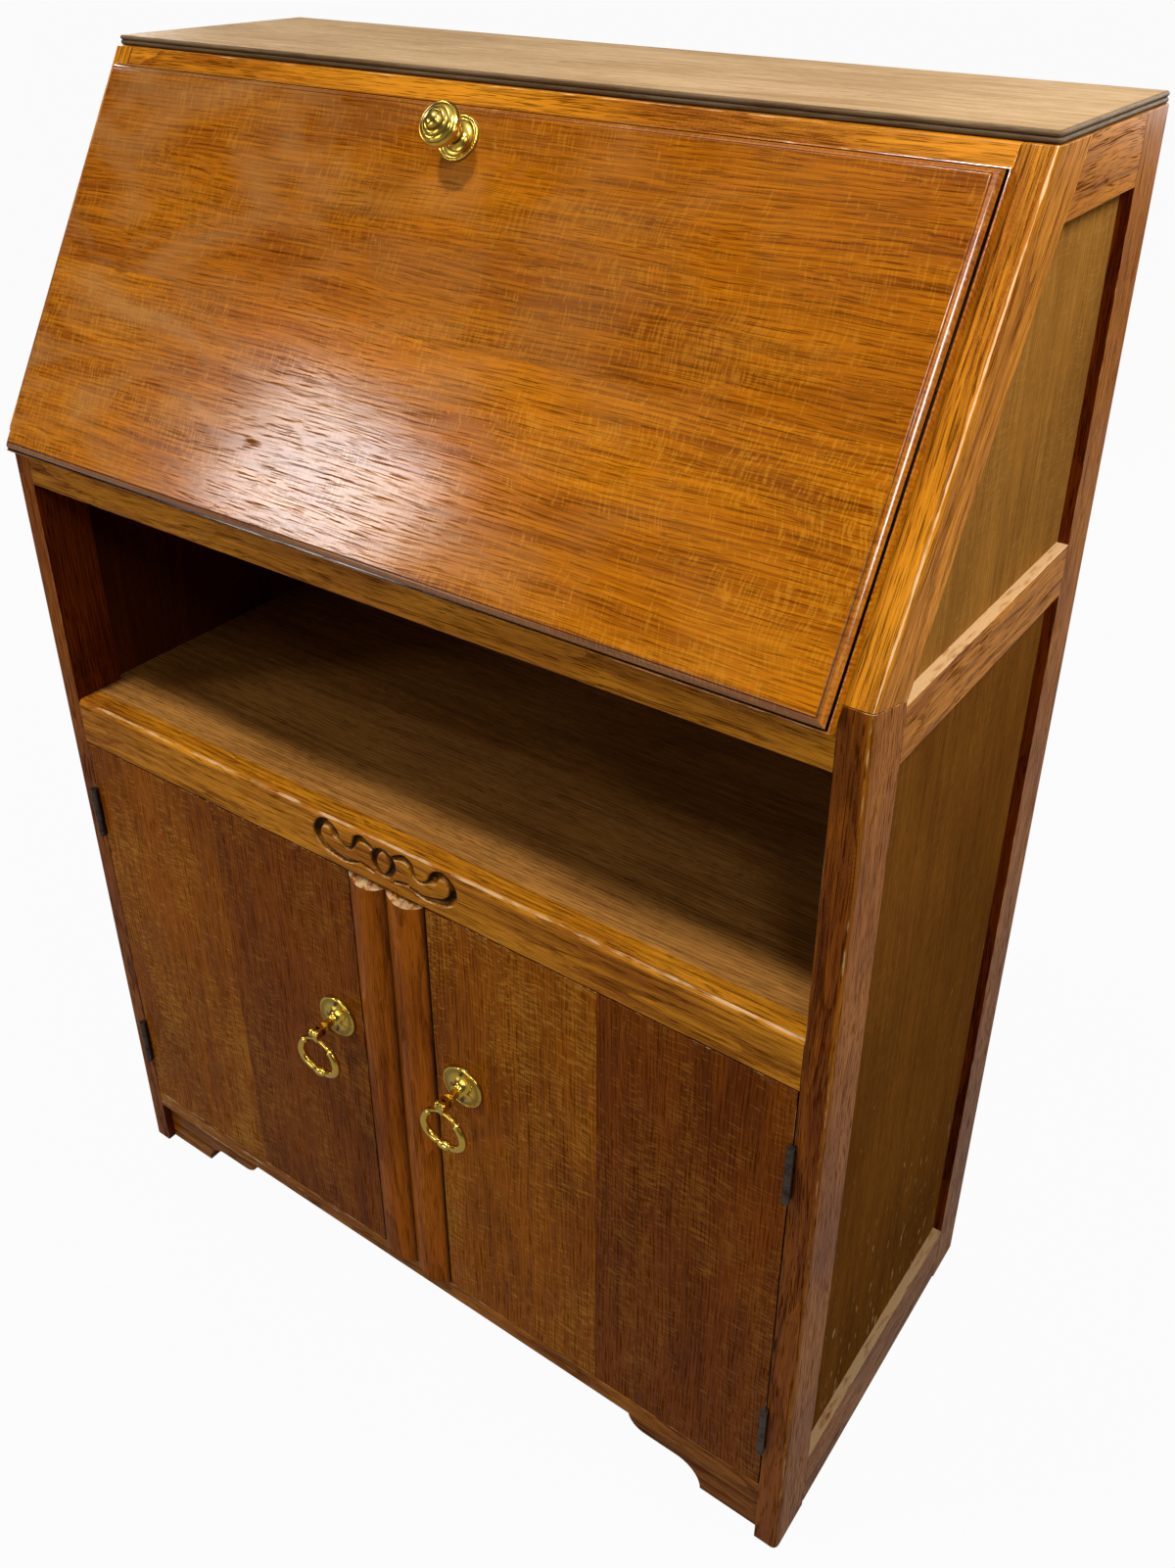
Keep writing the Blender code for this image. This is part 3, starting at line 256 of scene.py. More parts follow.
def lay_grain(bm, name, along, face, cut, boards=((math.inf, 0.0),), inside=()):
    """Give every face its board's grain. Boards lie side by side, each with its far edge and its tone.

    A quarter-sawn board has its pith far out to one side, a plain-sawn one behind its face.
    Faces turned given ways, such as to the inside of the case, are painted darker as shade, each way with its
    own tone.
    """
    far_pith, pith_drift = (0.16, 0.26), (-0.03, 0.03)
    near_pith, pith_aside = (0.05, 0.09), (-0.3, 0.3)
    log_long, facing_within = 5.0, 0.9
    draw = random.Random(name)
    beside = face.cross(along)
    for edge, tone in boards[:-1]:
        geometry = bm.verts[:] + bm.edges[:] + bm.faces[:]
        bmesh.ops.bisect_plane(bm, geom=geometry, plane_co=beside * edge, plane_no=beside)
    grain = bm.loops.layers.float_vector.new("grain")
    shade = bm.faces.layers.float.new("tone")
    low = min(vert.co.dot(beside) for vert in bm.verts)
    high = max(vert.co.dot(beside) for vert in bm.verts)
    level = max(vert.co.dot(face) for vert in bm.verts)
    laid = []
    for edge, tone in boards:
        far = min(edge, high)
        if cut == "quarter":
            pith = (draw.choice((-1, 1)) * draw.uniform(*far_pith), draw.uniform(*pith_drift))
        else:
            pith = (draw.uniform(*pith_aside) * (far - low), -draw.uniform(*near_pith))
        start = draw.uniform(0.0, log_long)
        laid.append((edge, tone, (low + far) / 2 + pith[0], level + pith[1], start))
        low = far
    for piece in bm.faces:
        centre = piece.calc_center_median().dot(beside)
        edge, tone, pith_beside, pith_behind, start = next(row for row in laid if centre <= row[0])
        dark = [inside_tone for way, inside_tone in inside if piece.normal.dot(way) > facing_within]
        piece[shade] = dark[0] if dark else tone
        for loop in piece.loops:
            spot = loop.vert.co
            from_pith = (spot.dot(beside) - pith_beside, spot.dot(face) - pith_behind)
            loop[grain] = (spot.dot(along) + start, *from_pith)


def placed(name, data):
    """A new object in the scene."""
    thing = bpy.data.objects.new(name, data)
    bpy.context.scene.collection.objects.link(thing)
    return thing


def settle(piece):
    """Put what a piece's modifiers make in the place of its mesh."""
    graph = bpy.context.evaluated_depsgraph_get()
    piece.data = bpy.data.meshes.new_from_object(piece.evaluated_get(graph))
    piece.modifiers.clear()


def finished(name, bm, body, finish):
    """Make a piece of a bmesh, with flat faces that stay flat beside rounded ones, on its body."""
    sharp_from = math.radians(50)
    mesh = bpy.data.meshes.new(name)
    bm.to_mesh(mesh)
    bm.free()
    mesh.shade_smooth()
    mesh.set_sharp_from_angle(angle=sharp_from)
    mesh.materials.append(finish)
    piece = placed(name, mesh)
    piece.modifiers.new("flat_faces", "WEIGHTED_NORMAL").keep_sharp = True
    settle(piece)
    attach(piece, body)
    return piece


def fit(node, bm, finish):
    """Make the finished piece that stands for a solid."""
    piece = finished(f"{node}_finished", bm, frame["nodes"][node]["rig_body"], finish)
    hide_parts(node)


ACROSS = Vector((1, 0, 0))
OUT = Vector((0, -1, 0))
UP = Vector((0, 0, 1))
joints = {joint["name"]: joint for joint in frame["joints"]}
slope = math.radians(joints["fall_hinge"]["range_deg"][1] - 90)
slope_up = Vector((0, math.sin(slope), math.cos(slope)))
slope_out = Vector((0, -math.cos(slope), math.sin(slope)))
hands = (("left", -1), ("right", 1))
arris = 0.0005
corner_round, slope_wear_and_highlight, upright_rub = 0.006, (1.0, 0.0016), (0.55, 0.0004)
painted_shade_tone, stile_front, ledge_dirt = 1.0, 0.8, 0.45
# Golden stained oak under rubbed polish: a satin sheen, dark dashes of open pores, streaked grain.
polished_oak = oak(
    "polished_oak", "#cc8216", "#904e08", "#2c1405", "#cc9038", 0.28,
    gloss=0.1, figure=0.25, contrast=0.7)
for hand, side in hands:
    for part, along, cut, tone, dust in (
        ("front_stile", UP, "quarter", 0.54, 0.0),
        ("slope_stile", slope_up, "plain", 0.15, 0.0),
        ("rear_stile", UP, "quarter", 0.5, 0.0),
        ("side_top_rail", OUT, "plain", 0.4, 0.0),
        ("side_mid_rail", OUT, "plain", 0.1, 0.95),
        ("side_bottom_rail", OUT, "plain", 0.5, 0.95),
    ):
        name = f"{hand}_{part}"
        timber = planed(name, arris)
        dusted(timber, dust, ledge_dirt if part == "side_bottom_rail" else 0.0)
        if part == "slope_stile":
            # On the slope stile the pale band is at full strength: worn polish and a painted highlight along
            # the corner.
            rub_corner(timber, ACROSS * side, slope_out, corner_round, *slope_wear_and_highlight)
        elif part.endswith("stile"):
            rub_corner(timber, ACROSS * side, OUT, corner_round, *upright_rub)
        # Faces turned into the case are painted dark as shade, and so are the front faces of the rear stiles
        # and rails.
        inside = [(ACROSS * -side, painted_shade_tone)]
        if part != "slope_stile":
            inside.append((OUT, stile_front if part == "front_stile" else painted_shade_tone))
        lay_grain(timber, name, along, ACROSS * side, cut, ((math.inf, tone),), inside)
        fit(name, timber, polished_oak)


# Side panels.
# Oak-faced boards set back in grooves of the frames, grain upright, with only a thin brown polish.
# Brooms have chipped the lower ones near the floor.
def scuff(bm, direction, face, amount):
    """Chip the polish of one face, most at its near end along a direction and not at its far end."""
    wear = bm.verts.layers.float.get("wear")
    places = [vert.co.dot(direction) for vert in bm.verts]
    near, far = min(places), max(places)
    level = max(vert.co.dot(face) for vert in bm.verts)
    skin_deep = 0.001
    for vert, place in zip(bm.verts, places):
        if level - vert.co.dot(face) < skin_deep:
            vert[wear] = max(vert[wear], amount * (far - place) / (far - near))


lower_chips = 0.34
# Oak veneer under one thin coat: dull tan brown without a sheen, in fine upright streaks.
panel_oak = oak(
    "thinly_polished_oak", "#966628", "#7a5020", "#462a10", "#9e7438", 0.4,
    gloss=0.0, figure=0.3, contrast=0.5, coarse=0.7)
for hand, side in hands:
    # The lower panels are toned darker: partly their own colour, partly painted shade for light falling off
    # towards the floor.
    for part, tone in (("upper_side_panel", 0.0), ("lower_side_panel", 0.6)):
        name = f"{hand}_{part}"
        board = planed(name, arris)
        if part == "lower_side_panel":
            scuff(board, UP, ACROSS * side, lower_chips)
        # Faces turned into the case are painted dark as shade.
        inside = [(ACROSS * -side, painted_shade_tone)]
        lay_grain(board, name, UP, ACROSS * side, "quarter", ((math.inf, tone),), inside)
        fit(name, board, panel_oak)


# Boards between the sides.
# Writing bed, open shelf and cupboard floor, plain boards housed in the sides.
# They were never polished, and the open shelf is painted darker towards its back, as shade under the fall.
shelf_back_shade = 0.55
# Planed oak without polish: dry and matt, yellowish brown with fine dark pores.
shelf_oak = oak(
    "unpolished_oak", "#b47a38", "#825120", "#2c1a0a", "#ae7c40", 0.5,
    figure=0.2, contrast=0.6, coarse=0.7)
for name in ("writing_bed", "shelf_board", "cupboard_floor"):
    board = planed(name, arris)
    if name == "shelf_board":
        # Painted shade: darker from the front of the shelf to its back.
        dirt = board.verts.layers.float.new("grime")
        low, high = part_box(name)
        for vert in board.verts:
            vert[dirt] = shelf_back_shade * (vert.co.y - low.y) / (high.y - low.y)
    lay_grain(board, name, ACROSS, UP, "quarter")
    fit(name, board, shelf_oak)


# Pigeonholes.
# Thin oak boards on the writing bed: two ends, two dividers and a shelf across them.
thin_arris = 0.0008
for part in ("left_end", "left_divider", "right_divider", "right_end"):
    name = f"pigeonhole_{part}"
    board = planed(name, thin_arris)
    lay_grain(board, name, OUT, ACROSS, "plain")
    fit(name, board, panel_oak)
board = planed("pigeonhole_shelf", thin_arris)
lay_grain(board, "pigeonhole_shelf", ACROSS, UP, "plain")
fit("pigeonhole_shelf", board, panel_oak)


# Back panel.
# A sheet of thin plywood let into the back and held by small pins round its edge.
def shape_tree(name, inputs):
    """A tree of geometry nodes that is given inputs, each with its kind, and makes one shape."""
    tree = bpy.data.node_groups.new(name, "GeometryNodeTree")
    for label, kind in inputs.items():
        tree.interface.new_socket(label, in_out="INPUT", socket_type=f"NodeSocket{kind}")
    tree.interface.new_socket("Shape", in_out="OUTPUT", socket_type="NodeSocketGeometry")
    return tree


def grown(name, mesh, tree, values):
    """The object that a tree of geometry nodes makes of a mesh, with values for the tree's inputs."""
    piece = placed(name, mesh)
    modifier = piece.modifiers.new("shape", "NODES")
    modifier.node_group = tree
    for socket in tree.interface.items_tree:
        if socket.name in values:
            modifier[socket.identifier] = values[socket.name]
    settle(piece)
    return piece


def fasteners(name, body, spots, sizes, finish):
    """Screw or pin heads on spots, each a point and the way it faces. Sizes are radius, rise and slot."""
    head_sides, crown_share, slot_long, slot_lift, slot_seed = 20, 0.86, 3.0, 1.1, 7
    measures = ("Head radius", "Head rise", "Slot wide")
    tree = shape_tree(name, {"Spots": "Geometry", **dict.fromkeys(measures, "Float"), "Finish": "Material"})
    add = partial(wire, tree)
    given = add("NodeGroupInput").outputs
    radius, rise, slot_wide = [given[label] for label in measures]
    crown = add("ShaderNodeMath", {0: radius, 1: crown_share}, operation="MULTIPLY").outputs[0]
    cone = {"Vertices": head_sides, "Radius Top": crown, "Radius Bottom": radius, "Depth": rise}
    head = add("GeometryNodeMeshCone", cone).outputs["Mesh"]
    long = add("ShaderNodeMath", {0: radius, 1: slot_long}, operation="MULTIPLY").outputs[0]
    size = add("ShaderNodeCombineXYZ", {0: long, 1: slot_wide, 2: rise}).outputs[0]
    bar = add("GeometryNodeMeshCube", {"Size": size}).outputs["Mesh"]
    lift = add("ShaderNodeMath", {0: rise, 1: slot_lift}, operation="MULTIPLY").outputs[0]
    over = add("ShaderNodeCombineXYZ", {2: lift}).outputs[0]
    bar = add("GeometryNodeTransform", {"Geometry": bar, "Translation": over}).outputs[0]
    slotted = {"Mesh 1": head, "Mesh 2": bar}
    slotted = add("GeometryNodeMeshBoolean", slotted, operation="DIFFERENCE").outputs[0]
    has_slot = add("FunctionNodeCompare", {0: slot_wide, 1: 0.0}, operation="GREATER_THAN").outputs[0]
    shape = {"Switch": has_slot, "False": head, "True": slotted}
    shape = add("GeometryNodeSwitch", shape, input_type="GEOMETRY").outputs[0]
    facing = add("GeometryNodeInputNamedAttribute", {"Name": "facing"}, data_type="FLOAT_VECTOR").outputs[0]
    stand = add("FunctionNodeAlignRotationToVector", {"Vector": facing}, axis="Z").outputs[0]
    heads = {"Points": given["Spots"], "Instance": shape, "Rotation": stand}
    heads = add("GeometryNodeInstanceOnPoints", heads).outputs[0]
    turn = add("FunctionNodeRandomValue", {"Seed": slot_seed}, data_type="FLOAT")
    turn.inputs[3].default_value = math.pi
    twist = add("ShaderNodeCombineXYZ", {2: turn.outputs[1]}).outputs[0]
    heads = add("GeometryNodeRotateInstances", {"Instances": heads, "Rotation": twist}).outputs[0]
    heads = add("GeometryNodeRealizeInstances", {"Geometry": heads}).outputs[0]
    heads = add("GeometryNodeSetMaterial", {"Geometry": heads, "Material": given["Finish"]}).outputs[0]
    add("NodeGroupOutput", {"Shape": heads})

    mesh = bpy.data.meshes.new(name)
    mesh.from_pydata([spot for spot, way in spots], [], [])
    mesh.attributes.new("facing", "FLOAT_VECTOR", "POINT").data.foreach_set(
        "vector", [value for spot, way in spots for value in way])
    piece = grown(name, mesh, tree, dict(zip(measures, sizes), Finish=finish))
    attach(piece, body)


def metal(name, clean, dull, roughness, dull_mm, dull_share):
    """A bare metal that has dulled in patches, and more in its hollows."""
    dull_rough = 0.3
    material, tree, shader = new_material(name)
    add = partial(wire, tree)
    place = add("ShaderNodeTexCoord").outputs["Object"]
    noise = {"Vector": place, "Scale": 1000.0 / dull_mm, "Detail": 4.0, "Roughness": 0.6}
    noise = add("ShaderNodeTexNoise", noise).outputs[0]
    grime = add("ShaderNodeAttribute", attribute_name="grime").outputs["Fac"]
    patches = add("ShaderNodeMapRange", {0: noise, 1: 0.45, 2: 0.75, 4: dull_share}).outputs[0]
    dulled = add("ShaderNodeMath", {0: patches, 1: grime}, operation="MAXIMUM").outputs[0]
    colour = {0: dulled, 6: linear(clean), 7: linear(dull)}
    colour = add("ShaderNodeMix", colour, data_type="RGBA").outputs[2]
    tree.links.new(colour, shader.inputs["Base Color"])
    rough = add("ShaderNodeMapRange", {0: dulled, 3: roughness, 4: roughness + dull_rough}).outputs[0]
    tree.links.new(rough, shader.inputs["Roughness"])
    shader.inputs["Metallic"].default_value = 1.0
    return material


board = planed("back_panel", arris)
lay_grain(board, "back_panel", UP, -OUT, "plain")
# Peeled birch veneer, bare: matt, pale and even, with wide soft figure.
back_ply = oak(
    "birch_plywood", "#a87a4a", "#8a5c32", "#5c3a1e", "#b08656", 0.6,
    figure=0.0, contrast=0.3, ring_mm=9.0)
fit("back_panel", board, back_ply)
# Pressed steel, browned by age: nearly black, with a dull sheen on the parts that are rubbed.
browned_steel = metal("browned_steel", "#5a5048", "#2e2119", 0.38, 6.0, 0.9)
low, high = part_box("back_panel")
pin_in, back_pin_sizes = 0.008, (0.0016, 0.0005, 0.0)
pins = []
for share in (0.02, 0.2, 0.4, 0.6, 0.8, 0.98):
    height = low.z + share * (high.z - low.z)
    pins += [((low.x + pin_in, high.y, height), -OUT), ((high.x - pin_in, high.y, height), -OUT)]
for share in (0.25, 0.5, 0.75):
    x = low.x + share * (high.x - low.x)
    pins += [((x, high.y, low.z + pin_in), -OUT), ((x, high.y, high.z - pin_in), -OUT)]
fasteners("back_panel_pins", "carcass", pins, back_pin_sizes, browned_steel)


# Top board.
# A thin oak board laid on the case, its front edge and ends run with two small beads.
# Standing objects and cleaning have dulled its polish to a grey brown.
def skin(rings):
    """A bmesh laid over rings of points and capped at its two ends."""
    bm = bmesh.new()
    loops = [[bm.verts.new(point) for point in ring] for ring in rings]
    bm.faces.new(loops[0])
    bm.faces.new(loops[-1])
    for this, following in zip(loops, loops[1:]):
        for index in range(len(this)):
            beside = (index + 1) % len(this)
            bm.faces.new((this[index], this[beside], following[beside], following[index]))
    bmesh.ops.recalc_face_normals(bm, faces=bm.faces)
    return bm


def mark(bm, name, amounts):
    """Write an amount of a mark, such as wear, grime, painted shade or painted highlight, for every vertex,
    in order made.
    """
    layer = bm.verts.layers.float.get(name) or bm.verts.layers.float.new(name)
    for vert, amount in zip(bm.verts, amounts):
        vert[layer] = amount


def arc(centre, radius, start, end, steps):
    """Points on an arc, or on part of an ellipse where the radius is a pair, between two angles."""
    wide, high = radius if isinstance(radius, tuple) else (radius, radius)
    points = []
    for step in range(steps + 1):
        angle = math.radians(start + (end - start) * step / steps)
        points.append((centre[0] + wide * math.cos(angle), centre[1] + high * math.sin(angle)))
    return points


top_low, top_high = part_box("top_board")
corner, least_corner = 0.003, 0.0005
thick = top_high.z - top_low.z
bead = thick / 2
quirk, under_in = 0.0009, 0.0006
# The beaded front edge and ends are painted darker as shade: most in the quirk, less under the board and on
# the beads.
under_shade, lower_bead_shade, quirk_shade, upper_bead_shade = 0.7, 0.75, 1.0, 0.65
bead_wear, top_wear = 0.1, 0.2
profile = [(under_in, 0.0, 0.0, under_shade)]
for inset, level in arc((bead / 2, bead / 2), bead / 2, 260, 110, 8):
    profile.append((inset, level, bead_wear, lower_bead_shade))
profile.append((quirk, bead, 0.0, quirk_shade))
for inset, level in arc((bead / 2, 1.5 * bead), bead / 2, 250, 110, 8):
    profile.append((inset, level, bead_wear, upper_bead_shade))
profile.append((bead / 2 + quirk, thick, top_wear, 0.0))
rings = []
for inset, level, wear, grime in profile:
    wide = top_high.x - inset
    round_corner = max(corner - inset, least_corner)
    front = top_low.y + inset + round_corner
    ring = [(wide, top_high.y), (-wide, top_high.y)]
    ring += arc((round_corner - wide, front), round_corner, 180, 270, 6)
    ring += arc((wide - round_corner, front), round_corner, 270, 360, 6)
    rings.append([(x, y, top_low.z + level) for x, y in ring])
board = skin(rings)
mark(board, "wear", [row[2] for row in profile for point in rings[0]])
mark(board, "grime", [row[3] for row in profile for point in rings[0]])
lay_grain(board, "top_board", ACROSS, UP, "quarter")
# Polished oak gone dull: greyish tan with a faint broad sheen, its pores hardly darker.
top_oak = oak(
    "dulled_oak", "#b69872", "#987852", "#6a5038", "#bca07a", 0.42,
    figure=0.2, contrast=0.5)
fit("top_board", board, top_oak)


# Rails across the front.
# Head rail, fall rail and bottom rail, solid oak with the grain along them, tenoned into the stiles.
# The head rail's lower edge is painted dark as the shade in the seam above the fall, and feet have chipped
# the bottom rail.
seam_shade, kicked = 0.95, 0.5
for name, face, ease, tone in (
    ("head_rail", slope_out, 0.0012, 0.15),
    ("fall_rail", OUT, 0.0006, 0.0),
    # The bottom rail is toned darker as painted shade near the floor.
    ("bottom_rail", OUT, 0.0006, 0.5),
):
    rail = planed(name, ease)
    if name == "head_rail":
        # Painted shade along the lower edge, beside the seam.
        dirt = rail.verts.layers.float.new("grime")
        lower_edge = min(vert.co.dot(slope_up) for vert in rail.verts)
        for vert in rail.verts:
            vert[dirt] = seam_shade * (vert.co.dot(slope_up) < lower_edge + ease / 2)
    elif name == "bottom_rail":
        scuff(rail, ACROSS, OUT, kicked)
    lay_grain(rail, name, ACROSS, face, "plain", ((math.inf, tone),))
    fit(name, rail, polished_oak)


# Shelf rail.
# A deep oak rail with a rounded top edge, tongued to the shelf. Its middle is carved with a
# gouge: a raised lens between two scrolls. Old polish is left in the cuts, which are painted dark as shade,
# with a painted highlight on their up-facing walls. The rounded top edge has a pale band of worn polish and
# painted highlight.
def curve(points, steps):
    """Points on a smooth curve through given points, with every value of a point carried along it."""
    ends = [points[0]] + points + [points[-1]]
    line = []
    for before, start, end, after in zip(ends, ends[1:], ends[2:], ends[3:]):
        for step in range(steps):
            share = step / steps
            spot = []
            for a, b, c, d in zip(before, start, end, after):
                bend = (2 * a - 5 * b + 4 * c - d) * share + (3 * b - a - 3 * c + d) * share ** 2
                spot.append(b + share * ((c - a) + bend) / 2)
            line.append(spot)
    line.append(list(points[-1]))
    return line


rail_low, rail_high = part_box("shelf_rail")
edge_radius, lower_arris = 0.005, 0.0006
carving_z = rail_high.z - 0.020
carving_half = 0.074
step_mm, curve_steps = 0.6, 10
# Each gouge cut: how far out from the middle, how high, and how broad, in mm.
outer_scroll = [
    (49.9, 6.6, 2.9), (53.5, 11.4, 2.6), (59.1, 13.4, 2.4), (64.4, 11.7, 2.5), (68.4, 6.7, 2.6),
    (69.7, 1.0, 2.7), (67.1, -5.4, 2.7), (60.8, -10.5, 2.4), (52.9, -12.6, 2.0), (42.8, -14.2, 1.7),
    (35.0, -13.5, 1.4), (27.3, -11.2, 0.9),
]
inner_scroll = [
    (10.8, 9.2, 1.4), (20.2, 12.8, 2.2), (26.8, 11.0, 2.2), (29.8, 6.0, 1.6), (32.2, 0.7, 1.2),
    (35.9, -1.3, 1.1), (40.4, -0.8, 1.1), (45.1, 1.8, 1.3), (48.1, 4.7, 2.0),
]
tail = [(11.1, -13.2, 0.9), (18.2, -11.0, 1.2), (25.1, -10.0, 0.8)]
stroke_wide, gouge_deep = 1.6, 1.15
lens = (5.8, 10.0)
lens_bed = (13.5, 13.5)
bed_deep_mm, bed_steep, lens_steep = 3.0, 5, 3
carved_rim_mm, rim_highlight = 1.3, 0.75
# The rounded top edge's pale band is worn polish and a painted highlight.
edge_rubbed, edge_wear_and_highlight = (0.55, 0.9), 0.72
# How deep a cut is before it is fully painted dark as shade, how dark at most, and how much less on lit
# walls.
shade_full_mm, most_dirt, lit_clean = 1.6, 0.95, 0.5

columns = [rail_low.x]
count = round(2 * carving_half * 1000 / step_mm)
columns += [-carving_half + 2 * carving_half * index / count for index in range(count + 1)]
columns += [rail_high.x]
flat_top = rail_high.z - edge_radius
rows = round((flat_top - rail_low.z) * 1000 / step_mm)
section = [(rail_high.y, rail_high.z), (rail_high.y, rail_low.z), (rail_low.y + lower_arris, rail_low.z)]
first_front = len(section)
section += [(rail_low.y, rail_low.z + (flat_top - rail_low.z) * row / rows) for row in range(1, rows)]
section += arc((rail_low.y + edge_radius, flat_top), edge_radius, 180, 95, 8)
depth = {}
cuts = []
for stroke in (outer_scroll, inner_scroll, tail):
    cuts += curve(stroke, curve_steps)
for x, z, broad in cuts:
    half = stroke_wide * broad
    for column, place in enumerate(columns):
        across_mm = abs(place) * 1000 - x
        if abs(across_mm) > half:
            continue
        for row, (y, height) in enumerate(section[first_front:], first_front):
            away = math.hypot(across_mm, (height - carving_z) * 1000 - z) / half
            if away < 1:
                cut = gouge_deep * half * (1 - away ** 2)
                depth[column, row] = max(cut, depth.get((column, row), 0.0))
for column, place in enumerate(columns):
    for row, (y, height) in enumerate(section[first_front:], first_front):
        x, z = place * 1000, (height - carving_z) * 1000
        bed = math.hypot(x / lens_bed[0], z / lens_bed[1])
        island = abs(x) / lens[0] + (z / lens[1]) ** 2
        steep = min(1.0, max(0.0, (1 - bed) * bed_steep), max(0.0, (island - 1) * lens_steep))
        if steep > 0:
            depth[column, row] = max(bed_deep_mm * steep, depth.get((column, row), 0.0))
rings = []
wear = []
grime = []
for column, place in enumerate(columns):
    ring = []
    for row, (y, height) in enumerate(section):
        cut = depth.get((column, row), 0.0)
        ring.append((place, y + cut / 1000, height))
        turn = (height - flat_top) / edge_radius
        rubbed = row >= first_front and cut == 0.0 and edge_rubbed[0] < turn < edge_rubbed[1]
        facing_up = (depth.get((column, row + 1), 0.0) - depth.get((column, row - 1), 0.0)) / (2 * step_mm)
        lit = min(1.0, max(0.0, facing_up))
        rim = lit if cut < carved_rim_mm else 0.0
        # Painted highlight on the up-facing walls of the cuts, painted shade in the cuts.
        wear.append(edge_wear_and_highlight if rubbed else rim_highlight * rim)
        grime.append(min(most_dirt, cut / shade_full_mm) * (1 - lit_clean * lit))
    rings.append(ring)
rail = skin(rings)
mark(rail, "wear", wear)
mark(rail, "grime", grime)
lay_grain(rail, "shelf_rail", ACROSS, OUT, "plain")
fit("shelf_rail", rail, polished_oak)


# Centre post.
# A solid oak post between the doors, its face worked into two broad reeds that stand proud of
# the rails, with a door stop behind. The cut tops of the reeds are worn, and their feet beside the doors are
# painted dark as shade.
def prism(outline, axis, low, high):
    """A bmesh of a flat outline pushed along X, Y or Z. The outline gives the other two axes in order."""
    places = [index for index in range(3) if index != "XYZ".index(axis)]
    rings = []
    for level in (low, high):
        ring = []
        for point in outline:
            spot = [level] * 3
            spot[places[0]], spot[places[1]] = point
            ring.append(spot)
        rings.append(ring)
    return skin(rings)


post_low, post_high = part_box("centre_muntin")
door_low, door_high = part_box("right_door")
door_gap = 0.0012
reed_wide = door_low.x - door_gap
reed_rise = door_low.y - post_low.y
reed_radius = (reed_wide ** 2 / 4 + reed_rise ** 2) / (2 * reed_rise)
reed_half = math.degrees(math.asin(reed_wide / 2 / reed_radius))
reed_steps = 24
stop_front = door_high.y + door_gap
outline = []
for middle in (-reed_wide / 2, reed_wide / 2):
    axis = (middle, post_low.y + reed_radius)
    outline += arc(axis, reed_radius, 270 - reed_half, 270 + reed_half, reed_steps)
outline.pop(reed_steps + 1)
outline += [(reed_wide, stop_front), (post_high.x, stop_front), (post_high.x, post_high.y)]
outline += [(post_low.x, post_high.y), (post_low.x, stop_front), (-reed_wide, stop_front)]
post = prism(outline, "Z", post_low.z, post_high.z)
reed_top_fall = 0.6
geometry = post.verts[:] + post.edges[:] + post.faces[:]
chamfer = {"plane_co": (0, door_low.y, post_high.z), "plane_no": (0, -reed_top_fall, 1), "clear_outer": True}
bmesh.ops.bisect_plane(post, geom=geometry, **chamfer)
bmesh.ops.holes_fill(post, edges=post.edges)
post = eased(post, arris)
reed_top_wear, reed_shade, shade_high = 0.78, 0.85, 0.0022
dusted(post, reed_top_wear)
# Painted shade on the reeds' flanks, darkest where they meet the doors.
dirt = post.verts.layers.float.get("grime")
for vert in post.verts:
    proud = door_low.y - vert.co.y
    vert[dirt] = reed_shade * min(1.0, max(0.0, 1 - proud / shade_high))
lay_grain(post, "centre_muntin", UP, OUT, "plain", ((0.0, 0.0), (math.inf, 0.1)))
# Oak with a redder stain, moulded and polished: even red brown that lights up along each reed.
reed_oak = oak(
    "moulded_red_oak", "#a45606", "#783903", "#341604", "#b07024", 0.28,
    figure=0.3, contrast=0.5)
fit("centre_muntin", post, reed_oak)


# Brackets.
# Two oak boards sawn to a cove and a rounded step, glued up under the bottom rail beside the stiles.
bracket_foot, bracket_cove, bracket_step, bracket_ovolo = 0.057, 0.024, 0.033, 0.017
# The brackets are toned darker as painted shade near the floor.
bracket_shade_tone = 0.6
for hand, side in hands:
    name = f"{hand}_bracket"
    low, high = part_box(name)
    cove_end = bracket_foot + bracket_cove
    step_end = cove_end + bracket_step
    sawn = [(0.0, high.z), (0.0, low.z)]
    sawn += arc((cove_end, low.z), bracket_cove, 180, 90, 16)
    sawn += arc((step_end, bracket_cove + bracket_ovolo), bracket_ovolo, 270, 360, 12)
    sawn.append((step_end + bracket_ovolo, high.z))
    outer = high.x if side > 0 else low.x
    outline = [(outer - side * away, z) for away, z in sawn]
    bracket = eased(prism(outline, "Y", low.y, high.y), arris)
    lay_grain(bracket, name, ACROSS, OUT, "plain", ((math.inf, bracket_shade_tone),))
    fit(name, bracket, polished_oak)


# Fall.
# A wide panel of two oak boards glued edge to edge, quarter sawn above and plainer below. A thin
# lip and an ovolo are run round it. It has the most polish of all, built up with a rubber.
def notched(bm, cutters):
    """Cut bmesh blocks out of a bmesh."""
    work = placed("work", bpy.data.meshes.new("work"))
    bm.to_mesh(work.data)
    bm.free()
    for cutter in cutters:
        block = placed("block", bpy.data.meshes.new("block"))
        cutter.to_mesh(block.data)
        cutter.free()
        work.modifiers.new("saw", "BOOLEAN").object = block
        settle(work)
        bpy.data.objects.remove(block)
    result = bmesh.new()
    result.from_mesh(work.data)
    bpy.data.objects.remove(work)
    return result


